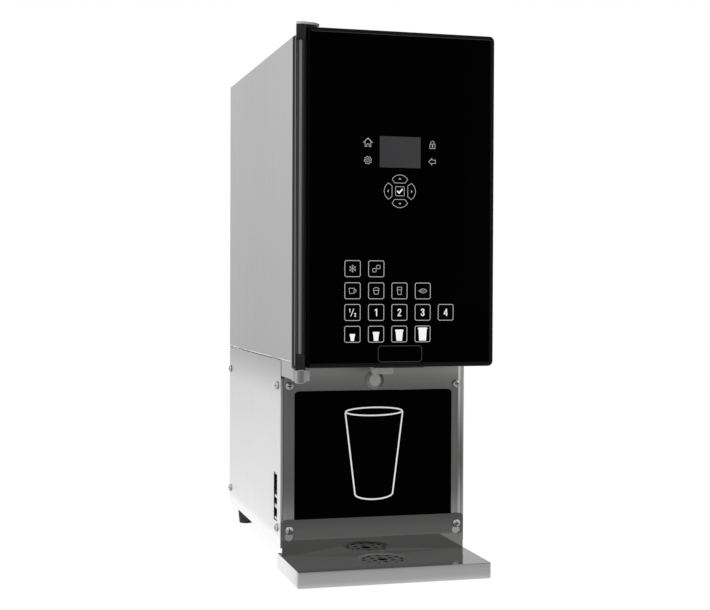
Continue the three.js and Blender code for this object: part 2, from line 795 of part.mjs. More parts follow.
/** Soft tube from the tank's spigot down through the pinch valve. */
function outletTube() {
  const top = new THREE.Vector3(0, tankY[0] - SPIGOT_LENGTH - FIT_GAP, spigotZ);
  const turnIn = new THREE.Vector3(0, outletY + TUBE_BEND, spigotZ);
  const corner = new THREE.Vector3(0, outletY, spigotZ);
  const turnOut = new THREE.Vector3(0, outletY, spigotZ - TUBE_BEND);
  const end = new THREE.Vector3(0, outletY, valveZ[0] + FIT_GAP);
  const route = new THREE.CurvePath();
  route.add(new THREE.LineCurve3(top, turnIn));
  route.add(new THREE.QuadraticBezierCurve3(turnIn, corner, turnOut));
  route.add(new THREE.LineCurve3(turnOut, end));
  const whole = tube(route, TUBE_RADIUS, BEND_STEPS * BEND_STEPS, HOLE_SIDES, TUBE_BORE);
  const pinched = block(
    about(TUBE_RADIUS + OVERRUN),
    from(outletY, TUBE_RADIUS + OVERRUN),
    around(plungerZ, PINCH_WIDTH),
  );
  return cut(whole, pinched);
}

/** Valve housing under the cabinet's floor, with its side nozzle and the barrel that guides the plunger. */
function valveBody() {
  const width = around(outletY, VALVE_WIDTH);
  const end = VALVE_WIDTH / 2 - EDGE_BEVEL;
  const outline = cornered([-NOZZLE_OFFSET, VALVE_REACH], width, [0, end, end, 0]);
  const housing = grow(outline, valveZ, LEVEL, EDGE_BEVEL, 2 * BEND_STEPS);
  const mouthZ = valveZ[0] - NOZZLE_DROP;
  const nozzle = turned(
    [
      [0, mouthZ],
      [NOZZLE_MOUTH_RADIUS, mouthZ],
      [NOZZLE_TOP_RADIUS, mouthZ + NOZZLE_TAPER],
      [NOZZLE_TOP_RADIUS, valveZ[1]],
      [0, valveZ[1]],
    ],
    ROUND_SIDES,
  ).translate([-NOZZLE_OFFSET, outletY, 0]);
  const boss = bar(FRONTAL, [0, plungerZ], from(outletY, BOSS_REACH), BOSS_RADIUS, ROUND_SIDES, EDGE_BEVEL);
  const barrel = bar(FRONTAL, [0, plungerZ], [outletY, barrelEndY], BARREL_RADIUS, SMALL_SIDES);
  const tubeBore = bar(LEVEL, [0, outletY], grown(valveZ, OVERRUN), TUBE_RADIUS + FIT_GAP, SMALL_SIDES);
  const slide = PLUNGER_RADIUS + PLUNGER_CLEARANCE;
  const rodBore = bar(FRONTAL, [0, plungerZ], [outletY, barrelEndY + OVERRUN], slide, SMALL_SIDES);
  return cut(join(housing, nozzle, boss, barrel), tubeBore, rodBore);
}

/** Plunger rod with the flat blade that closes the tube. */
function pinchPlunger() {
  const tipY = outletY + FIT_GAP;
  const rodY = [outletY + TUBE_RADIUS + 2 * FIT_GAP, barrelEndY + SOLENOID_LENGTH / 2];
  const rod = bar(FRONTAL, [0, plungerZ], rodY, PLUNGER_RADIUS, SMALL_SIDES);
  const bladeZ = around(plungerZ, PLUNGER_BLADE);
  const bladeX = about(PLUNGER_RADIUS * Math.cos(Math.asin(PLUNGER_BLADE / 2 / PLUNGER_RADIUS)));
  const blade = block(bladeX, [tipY, rodY[0] + PLUNGER_RADIUS], bladeZ);
  return join(rod, blade);
}

/** Tubular solenoid with the pad that holds it under the cabinet's floor. */
function solenoid() {
  const bodyY = from(barrelEndY + FIT_GAP, SOLENOID_LENGTH);
  const can = bar(FRONTAL, [0, plungerZ], bodyY, SOLENOID_RADIUS, ROUND_SIDES, EDGE_BEVEL);
  const pad = block(
    about(SOLENOID_RADIUS),
    grown(bodyY, -SOLENOID_RADIUS),
    [plungerZ, cabinetZ[0] - FIT_GAP],
  );
  const room = PLUNGER_RADIUS + PLUNGER_CLEARANCE;
  const boreY = [bodyY[0] - OVERRUN, bodyY[0] + SOLENOID_LENGTH / 2 + 2 * PLUNGER_TRAVEL];
  return cut(join(can, pad), bar(FRONTAL, [0, plungerZ], boreY, room, SMALL_SIDES));
}

// Door

const hingeX = HINGE_INSET - halfWidth;
const hingeY = HINGE_SETBACK;
const doorX = [hingeX + CAP_RADIUS + FIT_GAP, halfWidth + DOOR_OVERHANG];
const doorY = [0, DOOR_THICKNESS];
const doorZ = [cabinetZ[0] - DOOR_DROP, cabinetZ[1] + DOOR_RISE];
const windowX = [doorX[0] + HINGE_BEZEL, doorX[1] - BEZEL];
const windowZ = grown(doorZ, -BEZEL);
const glassY = from(FIT_GAP, GLASS_THICKNESS);
const ledgeY = from(glassY[1] + FIT_GAP, FRAME_LEDGE_THICKNESS);
const panY = [ledgeY[1] + FIT_GAP, DOOR_THICKNESS - FIT_GAP];
const gasketX = cavityHalf + GASKET_INSET;
const gasketZ = grown(cavityZ, GASKET_INSET);

/** Black ring round the glass, with a ledge behind it and a drip lip along its foot. */
function doorFrame() {
  const ring = grow(rounded(doorX, doorZ, DOOR_CORNER), doorY, FRONTAL, EDGE_BEVEL);
  const rear = [doorY[1] - DRIP_LIP_THICKNESS, doorY[1]];
  const lip = block([doorX[0] + DOOR_CORNER, halfWidth], rear, [doorZ[0] - DRIP_LIP_DROP, windowZ[0]]);
  const front = grow(
    rounded(windowX, windowZ, GLASS_CORNER),
    [doorY[0] - OVERRUN, ledgeY[0]],
    FRONTAL,
  );
  const back = grow(
    rounded(windowX, windowZ, GLASS_CORNER),
    [ledgeY[1], doorY[1] + OVERRUN],
    FRONTAL,
  );
  const through = block(grown(windowX, -FRAME_LEDGE), grown(doorY, OVERRUN), grown(windowZ, -FRAME_LEDGE));
  return cut(join(ring, lip), front, back, through);
}

/** Glass that fills the ring. */
function doorGlass() {
  const outline = rounded(grown(windowX, -FIT_GAP), grown(windowZ, -FIT_GAP), GLASS_CORNER - FIT_GAP);
  return grow(outline, glassY, FRONTAL);
}

const screenX = middle(windowX) - SCREEN_OFFSET;
const screenZ = doorZ[1] - SCREEN_DROP;
const boardX = around(screenX, BOARD_WIDTH);
const boardZ = [
  windowZ[0] + FRAME_LEDGE + BOARD_FOOT_MARGIN,
  screenZ + DISPLAY_HEIGHT / 2 + BOARD_TOP_MARGIN,
];
const boardY = from(glassY[1] + FIT_GAP, BOARD_THICKNESS);
const displayX = around(screenX, DISPLAY_WIDTH);
const displayZ = around(screenZ, DISPLAY_HEIGHT);

/** Heights of one chip in the row below the display. */
function chipZ(step) {
  return from(displayZ[0] - CHIP_SPACING * (step + 1) - CHIP_WIDTH, CHIP_WIDTH);
}

/** Insulated inner door: a flange inside the ring, the plug, the gasket's groove and the board's pocket. */
function doorPan() {
  const flange = grow(
    rounded(grown(windowX, -FIT_GAP), grown(windowZ, -FIT_GAP), GLASS_CORNER - FIT_GAP),
    panY,
    FRONTAL,
  );
  const plugX = about(cavityHalf - PLUG_SIDE_CLEARANCE);
  const plugZ = [cavityZ[0] + PLUG_FLOOR_CLEARANCE, cavityZ[1] - PLUG_TOP_CLEARANCE];
  const plugY = [panY[0], panY[1] + PLUG_DEPTH];
  const plug = grow(rounded(plugX, plugZ, PLUG_CORNER), plugY, FRONTAL, PLUG_BEVEL);
  const grooveY = [panY[1] - GASKET_GROOVE, panY[1] + OVERRUN];
  const grooveOuter = rounded(
    about(gasketX + GASKET_WIDTH + FIT_GAP),
    grown(gasketZ, GASKET_WIDTH + FIT_GAP),
    LINER_CORNER + GASKET_WIDTH,
  );
  grooveOuter.holes.push(
    rounded(about(gasketX - FIT_GAP), grown(gasketZ, -FIT_GAP), LINER_CORNER),
  );
  const groove = grow(grooveOuter, grooveY, FRONTAL);
  const pocket = block(
    grown(displayX, POCKET_MARGIN),
    [panY[0] - OVERRUN, panY[0] + POCKET_DEPTH],
    grown([chipZ(CHIP_COUNT - 1)[0], displayZ[1]], POCKET_MARGIN),
  );
  return cut(join(flange, plug), groove, pocket);
}

/** Magnetic gasket in its groove, with rounded edges towards the cabinet. */
function doorGasket() {
  const outline = rounded(
    about(gasketX + GASKET_WIDTH),
    grown(gasketZ, GASKET_WIDTH),
    LINER_CORNER + GASKET_WIDTH,
  );
  outline.holes.push(rounded(about(gasketX), gasketZ, LINER_CORNER));
  const ySpan = [panY[1] - GASKET_GROOVE + FIT_GAP, cabinetY[0] - FIT_GAP];
  return grow(outline, ySpan, FRONTAL, GASKET_BEVEL);
}

/** Display module that shows through the glass. */
function displayModule() {
  return grow(
    rounded(displayX, displayZ, EDGE_BEVEL),
    from(glassY[1] + FIT_GAP, DISPLAY_THICKNESS),
    FRONTAL,
  );
}

/** Touch board with an opening for the display and its row of chips. */
function touchBoard() {
  const outline = rounded(boardX, boardZ, GLASS_CORNER);
  outline.holes.push(rounded(grown(displayX, FIT_GAP), grown(displayZ, FIT_GAP), EDGE_BEVEL));
  const sheet = grow(outline, boardY, FRONTAL);
  const chipY = [middle(boardY), boardY[1] + CHIP_HEIGHT];
  const chipX = around(screenX, CHIP_WIDTH);
  const chips = [];
  for (let step = 0; step < CHIP_COUNT; step += 1) {
    chips.push(block(chipX, chipY, chipZ(step)));
  }
  return join(sheet, ...chips);
}

// Hinge

const capSpans = [
  from(doorZ[0] - CAP_OVERHANG, CAP_LENGTH),
  from(doorZ[1] + CAP_OVERHANG - CAP_LENGTH, CAP_LENGTH),
];
const plateZ = from(capSpans[1][1] + FIT_GAP, PLATE_THICKNESS);
const plateX = from(hingeX - CAP_RADIUS, PLATE_WIDTH);
const trimFootZ = cabinetZ[0] - TRIM_DROP;

/** End cap of the hinge bar, bored for its pin from one end. */
function hingeCap(span, boreSpan) {
  const cap = bar(LEVEL, [hingeX, hingeY], span, CAP_RADIUS, ROUND_SIDES, CAP_BEVEL);
  return cut(cap, bar(LEVEL, [hingeX, hingeY], boreSpan, PIN_RADIUS + FIT_GAP, SMALL_SIDES));
}

/** Round bar down the hinge side of the door, with the web that meets the frame. */
function hingeBar() {
  const span = [capSpans[0][1] + FIT_GAP, capSpans[1][0] - FIT_GAP];
  const round = bar(LEVEL, [hingeX, hingeY], span, BAR_RADIUS, ROUND_SIDES);
  const webY = around(hingeY, BAR_WEB);
  return join(round, block([hingeX, doorX[0] - FIT_GAP], webY, span));
}

/** Strip on the cabinet that closes the gap beside the hinge bar and ends a little below the floor. */
function hingeTrim() {
  const ySpan = [TRIM_SETBACK, cabinetY[0] - FIT_GAP];
  const outline = cornered(from(-halfWidth, TRIM_THICKNESS), ySpan, [EDGE_BEVEL, 0, 0, 0]);
  return grow(outline, [trimFootZ, cabinetZ[1] - CABINET_BEND]);
}

/** Upper hinge plate: a tongue over the door, a riser and a foot on the cabinet's top, with its pin. */
function topHingePlate() {
  const riserY = from(cabinetY[0] + PLATE_RISER_SETBACK, PLATE_THICKNESS);
  const tongue = new THREE.Shape();
  tongue.moveTo(plateX[0], hingeY);
  tongue.absarc(hingeX, hingeY, CAP_RADIUS, Math.PI, Math.PI + TONGUE_SWEEP, false);
  tongue.lineTo(plateX[1] - TONGUE_CORNER, hingeY - TONGUE_LEAD);
  tongue.lineTo(plateX[1], hingeY - TONGUE_LEAD + TONGUE_CORNER);
  tongue.lineTo(plateX[1], riserY[1]);
  tongue.lineTo(plateX[0], riserY[1]);
  const footZ = from(cabinetZ[1] + FIT_GAP, PLATE_THICKNESS);
  const foot = grow(
    cornered(plateX, from(riserY[0], PLATE_FOOT), [0, 0, CAP_RADIUS, CAP_RADIUS]),
    footZ,
  );
  const riser = block(plateX, riserY, [footZ[0], plateZ[1]]);
  const pinZ = [plateZ[0] - PIN_LENGTH, middle(plateZ)];
  const pin = bar(LEVEL, [hingeX, hingeY], pinZ, PIN_RADIUS, SMALL_SIDES);
  return join(grow(tongue, plateZ, LEVEL, 0, 2 * BEND_STEPS), foot, riser, pin);
}

/** Lower hinge bracket: side plate, flange under the floor, arm, knuckle and pin. */
function lowerHingeBracket() {
  const topZ = cabinetZ[0] - FIT_GAP;
  const sideX = from(-halfWidth, BRACKET_SHEET);
  const sideY = [cabinetY[0], splashY - FIT_GAP];
  const side = block(sideX, sideY, [topZ - BRACKET_DROP, topZ]);
  const nose = block(sideX, [hingeY, sideY[1]], [topZ - BRACKET_DROP, trimFootZ - FIT_GAP]);
  const flangeY = [cabinetY[0] + BRACKET_SHEET, sideY[1]];
  const flange = grow(
    cornered(from(sideX[0], BRACKET_FLANGE), flangeY, [0, CAP_RADIUS, CAP_RADIUS, 0]),
    [topZ - BRACKET_SHEET, topZ],
  );
  const knuckleZ = from(capSpans[0][0] - FIT_GAP - KNUCKLE_HEIGHT, KNUCKLE_HEIGHT);
  const arm = grow(
    cornered(
      from(sideX[0], BRACKET_ARM_WIDTH),
      [topZ - BRACKET_ARM_DROP, knuckleZ[1]],
      [BRACKET_ARM_CORNER, BRACKET_ARM_CORNER, 0, 0],
    ),
    from(hingeY, BRACKET_ARM_DEPTH),
    FRONTAL,
  );
  const knuckle = bar(LEVEL, [hingeX, hingeY], knuckleZ, CAP_RADIUS, ROUND_SIDES, CAP_BEVEL);
  const pinZ = [middle(knuckleZ), knuckleZ[1] + PIN_LENGTH];
  const pin = bar(LEVEL, [hingeX, hingeY], pinZ, PIN_RADIUS, SMALL_SIDES);
  return join(side, nose, flange, arm, knuckle, pin);
}

// Base

const splashZ = [chassisZ, coverZ[1] - COVER_BEND];
const insertZ = [chassisZ + INSERT_FOOT_MARGIN, coverZ[1] - INSERT_TOP_MARGIN];
const lampZ = coverZ[1] - LAMP_DROP;
const keyholeX = halfWidth - KEYHOLE_INSET;
const keyholeZ = chassisZ + KEYHOLE_RISE;
const splashScrewX = halfWidth - SPLASH_SCREW_INSET;
const splashScrewZ = coverZ[1] - SPLASH_SCREW_DROP;
const coverScrewY = [coverY[0] + COVER_SCREW_INSET, coverY[1] - COVER_SCREW_REAR_INSET];
const coverScrewZ = [coverZ[0] + COVER_SCREW_BOTTOM, coverZ[1] - COVER_SCREW_TOP];
const slotY = from(coverY[0] + SLOT_SETBACK, SLOT_WIDTH);
const slotZ = from(coverZ[0] + SLOT_RISE, SLOT_HEIGHT);

/** Holes for the screws of both covers, over spans of x on both sides. */
function coverScrewHoles() {
  const holes = [];
  for (const y of coverScrewY) {
    for (const z of coverScrewZ) {
      holes.push(bar(SIDEWAYS, [y, z], about(halfWidth + OVERRUN), SCREW_HOLE_RADIUS, HOLE_SIDES));
    }
  }
  return holes;
}

/** Holes for the splash and tray screws, over a span of y. */
function frontScrewHoles(ySpan) {
  const places = [-1, 1].flatMap((side) => [
    [side * splashScrewX, splashScrewZ],
    [side * keyholeX, keyholeZ],
  ]);
  return places.map((place) => bar(FRONTAL, place, ySpan, SCREW_HOLE_RADIUS, HOLE_SIDES));
}

/** Welded chassis: a base sheet and four corner posts, with a window for the sockets. */
function chassis() {
  const plate = grow(
    rounded(about(chassisHalf), chassisY, CABINET_BEND),
    from(chassisZ, POST_SHEET),
  );
  const postZ = [chassisZ, cabinetZ[0] - FIT_GAP];
  const posts = [];
  for (const side of [-1, 1]) {
    const sideX = around(side * (chassisHalf - POST_SHEET / 2), POST_SHEET);
    const legX = around(side * (chassisHalf - POST_FRONT_LEG / 2), POST_FRONT_LEG);
    posts.push(block(sideX, from(chassisY[0], POST_SIDE_LEG), postZ));
    posts.push(block(legX, from(chassisY[0], POST_SHEET), postZ));
    posts.push(block(sideX, [chassisY[1] - POST_SIDE_LEG, chassisY[1]], postZ));
    posts.push(block(legX, [chassisY[1] - POST_SHEET, chassisY[1]], postZ));
  }
  const socketWindow = block(
    around(-chassisHalf, 2 * POST_FRONT_LEG),
    grown(slotY, FIT_GAP),
    grown(slotZ, FIT_GAP),
  );
  return cut(
    join(plate, ...posts),
    socketWindow,
    ...coverScrewHoles(),
    ...frontScrewHoles(grown(from(chassisY[0], POST_SHEET), OVERRUN)),
  );
}

/** Side cover: a shallow pan with folded edges at its top, foot and rear. */
function sideCover(side) {
  const spans = [coverY, coverZ];
  const radii = [0, COVER_BOTTOM_CORNER, COVER_TOP_CORNER, 0];
  const outerX = around(side * (halfWidth - COVER_RIM / 2), COVER_RIM);
  const outer = grow(cornered(...spans, radii), outerX, SIDEWAYS, 0, BEND_STEPS);
  const innerRadii = radii.map((radius) => Math.max(radius - SHEET, 0));
  const innerY = [coverY[0] - OVERRUN, coverY[1] - SHEET];
  const innerDepth = COVER_RIM + OVERRUN - SHEET;
  const innerX = around(side * (halfWidth - SHEET - innerDepth / 2), innerDepth);
  const inner = grow(cornered(innerY, grown(coverZ, -SHEET), innerRadii), innerX, SIDEWAYS, 0, BEND_STEPS);
  return cut(outer, inner, ...coverScrewHoles());
}

/** Left cover, with the slot that shows the switch and sockets. */
function leftCover() {
  const opening = grow(
    rounded(slotY, slotZ, SLOT_CORNER),
    grown(from(-halfWidth, SHEET), OVERRUN),
    SIDEWAYS,
  );
  return cut(sideCover(-1), opening);
}

/** Splash panel: a sheet folded back round both sides, with a window for the black insert. */
function splashPanel() {
  const half = splashHalf;
  const depth = [splashY, splashY + SPLASH_FLANGE];
  const bend = SPLASH_BEND;
  const outer = grow(cornered(about(half), depth, [bend, bend, 0, 0]), splashZ, LEVEL, 0, BEND_STEPS);
  const inner = grow(
    cornered(about(half - SHEET), [splashY + SHEET, depth[1] + OVERRUN], [bend - SHEET, bend - SHEET, 0, 0]),
    grown(splashZ, OVERRUN),
    LEVEL,
    0,
    BEND_STEPS,
  );
  const throughY = grown(from(splashY, SHEET), OVERRUN);
  const windowShape = rounded(about(insertHalf + FIT_GAP), grown(insertZ, FIT_GAP), INSERT_CORNER);
  return cut(
    outer,
    inner,
    grow(windowShape, throughY, FRONTAL),
    bar(FRONTAL, [0, lampZ], throughY, LAMP_BODY_RADIUS + FIT_GAP, ROUND_SIDES),
    bar(FRONTAL, [0, plungerZ], throughY, BARREL_RADIUS + FIT_GAP, SMALL_SIDES),
    ...frontScrewHoles(throughY),
  );
}

/** Black insert of the splash panel. */
function splashInsert() {
  return grow(
    rounded(about(insertHalf), insertZ, INSERT_CORNER - FIT_GAP),
    from(splashY + SHEET - INSERT_THICKNESS, INSERT_THICKNESS),
    FRONTAL,
  );
}

/** Cup lamp: a sloping bezel with the lens at its tip and the body behind the panel. */
function cupLamp() {
  const body = LAMP_BODY_RADIUS;
  const tip = FIT_GAP + LAMP_RISE;
  const body3d = turned(
    [
      [0, -LAMP_DEPTH],
      [body, -LAMP_DEPTH],
      [body, FIT_GAP],
      [LAMP_RADIUS, FIT_GAP],
      [LAMP_RADIUS, FIT_GAP + LAMP_RIM],
      [LAMP_LENS_RADIUS + EDGE_BEVEL, tip - EDGE_BEVEL],
      [LAMP_LENS_RADIUS, tip],
      [0, tip],
    ],
    ROUND_SIDES,
  );
  const geometry = geometryOf(body3d);
  geometry.rotateX(Math.PI / 2);
  geometry.translate(0, splashY, lampZ);
  return solid(geometry);
}

/** Rear sheet with two columns of air slots. */
function rearGrille() {
  const zSpan = [chassisZ, coverZ[1] - COVER_BEND];
  const sheet = rounded(about(chassisHalf), zSpan, COVER_TOP_CORNER);
  for (let column = 0; column < LOUVRE_COLUMNS; column += 1) {
    const x = (column - (LOUVRE_COLUMNS - 1) / 2) * LOUVRE_SPACING;
    for (let row = 0; row < LOUVRE_COUNT; row += 1) {
      sheet.holes.push(slot(x, LOUVRE_BOTTOM + row * LOUVRE_PITCH, LOUVRE_LENGTH, LOUVRE_HEIGHT));
    }
  }
  return grow(sheet, from(coverY[1] - SHEET, SHEET), FRONTAL, 0, 1);
}

/** Tapered rubber foot with a small bead round its sole. */
function foot() {
  return turned(
    [
      [0, 0],
      [FOOT_BOTTOM_RADIUS - FOOT_BEAD, 0],
      [FOOT_BOTTOM_RADIUS, FOOT_BEAD],
      [FOOT_TOP_RADIUS, FOOT_HEIGHT - FOOT_BEAD],
      [FOOT_TOP_RADIUS, FOOT_HEIGHT],
      [0, FOOT_HEIGHT],
    ],
    ROUND_SIDES,
  );
}

// Switch and sockets

const panelX = [-chassisHalf - FIT_GAP - SHEET, -chassisHalf - FIT_GAP];
const socketY = middle(slotY);
const switchZ = [slotZ[1] - SWITCH_TOP_MARGIN - SWITCH_HEIGHT, slotZ[1] - SWITCH_TOP_MARGIN];
const dataZ = [switchZ[0] - SOCKET_SPACE - DATA_SOCKET_HEIGHT, switchZ[0] - SOCKET_SPACE];
const inletZ = [dataZ[0] - SOCKET_SPACE - POWER_INLET_HEIGHT, dataZ[0] - SOCKET_SPACE];
const rockerPivotX = panelX[0] - FLANGE_THICKNESS + ROCKER_PIVOT_DEPTH;
const rockerReach = ROCKER_PIVOT_DEPTH + (ROCKER_HEIGHT / 2) * Math.tan(ROCKER_TILT);
const rockerCorner = Math.hypot(rockerReach, ROCKER_HEIGHT / 2);
const rockerSweep = rockerCorner * Math.sin(Math.atan2(ROCKER_HEIGHT / 2, rockerReach) + ROCKER_TILT);

/** Span of a given width round the middle of the sockets. */
function socketSpan(width) {
  return around(socketY, width);
}

/** Small panel that carries the switch and sockets behind the slot. */
function socketPanel() {
  const reach = grown(slotY, SLOT_PANEL_MARGIN);
  const ySpan = [Math.max(reach[0], chassisY[0] + SPLASH_FLANGE), reach[1]];
  const sheet = rounded(ySpan, grown(slotZ, SLOT_PANEL_MARGIN), SLOT_CORNER);
  sheet.holes.push(rounded(socketSpan(SWITCH_WIDTH + 2 * FIT_GAP), grown(switchZ, FIT_GAP), EDGE_BEVEL));
  sheet.holes.push(rounded(socketSpan(SOCKET_WIDTH + 2 * FIT_GAP), grown(dataZ, FIT_GAP), EDGE_BEVEL));
  sheet.holes.push(rounded(socketSpan(SOCKET_WIDTH + 2 * FIT_GAP), grown(inletZ, FIT_GAP), EDGE_BEVEL));
  return grow(sheet, panelX, SIDEWAYS);
}

/** Socket housing over a span of heights: a box through the panel with a flange in front of it. */
function socketHousing(width, zSpan, depth) {
  const frontX = panelX[0] - FIT_GAP - FLANGE_THICKNESS;
  const box = block([frontX, panelX[0] + depth], socketSpan(width), zSpan);
  const flange = block(
    from(frontX, FLANGE_THICKNESS),
    socketSpan(width + 2 * FLANGE_LAP),
    grown(zSpan, FLANGE_LAP),
  );
  return join(box, flange);
}

/** Frame of the mains switch, open in front for its rocker. */
function switchBody() {
  const well = block(
    [panelX[0] - FLANGE_THICKNESS - OVERRUN, panelX[0] + SWITCH_DEPTH - SOCKET_WALL],
    socketSpan(ROCKER_WIDTH + 2 * FIT_GAP),
    around(middle(switchZ), 2 * (rockerSweep + FIT_GAP)),
  );
  return cut(socketHousing(SWITCH_WIDTH, switchZ, SWITCH_DEPTH), well);
}

/** Rocker with a dished face, drawn about its pivot and tilted to its resting side. */
function switchRocker() {
  const half = ROCKER_HEIGHT / 2;
  const dish = 2 * ROCKER_PIVOT_DEPTH - rockerReach;
  const face = new THREE.Shape();
  face.moveTo(-rockerReach, half);
  face.quadraticCurveTo(-dish, 0, -rockerReach, -half);
  face.lineTo(-ROCKER_PIVOT_DEPTH / 2, -half);
  face.lineTo(ROCKER_HEEL, -half * ROCKER_HEEL_SHARE);
  face.lineTo(ROCKER_HEEL, half * ROCKER_HEEL_SHARE);
  face.lineTo(-ROCKER_PIVOT_DEPTH / 2, half);
  const geometry = new THREE.ExtrudeGeometry(face, {
    depth: ROCKER_WIDTH,
    bevelEnabled: false,
    curveSegments: 2 * BEND_STEPS,
  });
  geometry.translate(0, 0, -ROCKER_WIDTH / 2);
  geometry.rotateX(Math.PI / 2);
  return solid(geometry);
}

/** Data socket with its opening. */
function dataSocket() {
  const inner = SOCKET_WIDTH - 2 * SOCKET_WALL;
  const opening = block(
    [panelX[0] - FLANGE_THICKNESS - OVERRUN, panelX[0] + SOCKET_DEPTH - SOCKET_WALL],
    socketSpan(inner),
    grown(dataZ, -SOCKET_WALL),
  );
  return cut(socketHousing(SOCKET_WIDTH, dataZ, SOCKET_DEPTH), opening);
}

/** Power inlet with chamfered upper corners and two pins. */
function powerInlet() {
  const ySpan = socketSpan(SOCKET_WIDTH - 2 * SOCKET_WALL);
  const [low, high] = grown(inletZ, -SOCKET_WALL);
  const mouth = new THREE.Shape();
  mouth.moveTo(ySpan[0], low);
  mouth.lineTo(ySpan[1], low);
  mouth.lineTo(ySpan[1], high - INLET_CHAMFER);
  mouth.lineTo(ySpan[1] - INLET_CHAMFER, high);
  mouth.lineTo(ySpan[0] + INLET_CHAMFER, high);
  mouth.lineTo(ySpan[0], high - INLET_CHAMFER);
  const floorX = panelX[0] + SOCKET_DEPTH - SOCKET_WALL;
  const opening = grow(mouth, [panelX[0] - FLANGE_THICKNESS - OVERRUN, floorX], SIDEWAYS);
  const pins = [-1, 1].map((side) =>
    bar(
      SIDEWAYS,
      [socketY + (side * INLET_PIN_SPACING) / 2, inletZ[0] + POWER_INLET_HEIGHT * INLET_PIN_SHARE],
      [panelX[0], floorX + SOCKET_WALL / 2],
      INLET_PIN_RADIUS,
      HOLE_SIDES,
    ));
  return join(cut(socketHousing(SOCKET_WIDTH, inletZ, SOCKET_DEPTH), opening), ...pins);
}

// Drip tray

const trayY = [-TRAY_REACH, splashY + TRAY_TUCK];
const trayZ = from(TRAY_CLEARANCE, TRAY_HEIGHT);
const upstandY = [splashY - UPSTAND_GAP - SHEET, splashY - UPSTAND_GAP];

/** Bowl of the pressed drain under the outlet, or its underside at a clearance. */
function dish(clearance) {
  const top = trayZ[1];
  const wall = DISH_RADIUS + clearance;
  const floor = wall - DISH_SLOPE;
  const bowl = turned(
    [
      [0, top - DISH_DEPTH - clearance],
      [floor, top - DISH_DEPTH - clearance],
      [wall, top],
      [wall, top + OVERRUN],
      [0, top + OVERRUN],
    ],
    ROUND_SIDES,
  );
  return bowl.translate([0, drainY, 0]);
}

/** Drain openings: a round one in the middle, holes round it and slots round those. */
function drainHoles() {
  const zSpan = [trayZ[0], trayZ[1] + OVERRUN];
  const holes = [bar(LEVEL, [0, drainY], zSpan, DRAIN_HOLE_RADIUS, ROUND_SIDES)];
  const rings = [
    [DRAIN_INNER_RING, DRAIN_INNER_COUNT],
    [DRAIN_OUTER_RING, DRAIN_OUTER_COUNT],
  ];
  for (const [radius, count] of rings) {
    const opening = grow(slot(0, radius, DRAIN_SLOT_LENGTH, DRAIN_SLOT_WIDTH), zSpan, LEVEL, 0, 1);
    for (let i = 0; i < count; i += 1) {
      const turn = opening.rotate([0, 0, (360 * i) / count]);
      holes.push(turn.translate([0, drainY, 0]));
    }
  }
  return holes;
}

/** Keyhole in the upstand: a round mouth below a narrow slot. */
function keyhole(x) {
  const mouthZ = keyholeZ - KEYHOLE_DROP;
  const ySpan = grown(upstandY, OVERRUN / 2);
  const mouth = bar(FRONTAL, [x, mouthZ], ySpan, KEYHOLE_RADIUS, ROUND_SIDES);
  const neckX = around(x, 2 * KEYHOLE_SLOT);
  const neckShape = rounded(neckX, [mouthZ, keyholeZ + KEYHOLE_SLOT], KEYHOLE_SLOT - FIT_GAP);
  const neck = grow(neckShape, ySpan, FRONTAL);
  return join(mouth, neck);
}

/** Tray: folded top with its dish and drain, and the upstand that hangs on two screws. */
function dripTray() {
  const folded = grow(
    cornered(about(trayHalf), trayY, [EDGE_BEVEL, EDGE_BEVEL, 0, 0]),
    trayZ,
  );
  const under = block(
    about(trayHalf - SHEET),
    [trayY[0] + SHEET, trayY[1] + OVERRUN],
    [trayZ[0] - OVERRUN, trayZ[1] - SHEET],
  );
  const below = block(about(trayHalf), trayY, [trayZ[0], trayZ[1] - SHEET / 2]);
  const dishBack = dish(SHEET).intersect(below);
  const upstandZ = [trayZ[1] - SHEET, keyholeZ + UPSTAND_CROWN];
  const upstandShape = cornered(about(splashHalf), upstandZ, [0, 0, UPSTAND_CORNER, UPSTAND_CORNER]);
  const upstand = grow(upstandShape, upstandY, FRONTAL);
  const body = join(cut(folded, under), dishBack, upstand);
  return cut(body, dish(0), ...drainHoles(), keyhole(-keyholeX), keyhole(keyholeX));
}

/** Pan inside the tray that catches the drips. */
function dripPan() {
  const room = SHEET + FIT_GAP;
  const ySpan = [trayY[0] + room, trayY[1]];
  const zSpan = [trayZ[0] + FIT_GAP, trayZ[1] - room];
  const outer = grow(rounded(about(trayHalf - room), ySpan, PAN_CORNER), zSpan);
  const inner = grow(
    rounded(about(trayHalf - room - SHEET), grown(ySpan, -SHEET), PAN_CORNER - SHEET),
    [zSpan[0] + SHEET, zSpan[1] + OVERRUN],
  );
  return cut(outer, inner);
}

// Refrigeration and power

const machineZ = chassisZ + POST_SHEET + FIT_GAP;
const condenserY = [chassisY[1] - CONDENSER_SETBACK - CONDENSER_DEPTH, chassisY[1] - CONDENSER_SETBACK];
const fanY = [condenserY[0] - FIT_GAP - FAN_DEPTH, condenserY[0] - FIT_GAP];
const fanZ = machineZ + FAN_LIFT + FAN_FRAME / 2;
const fanBore = FAN_FRAME / 2 - FAN_RIM;

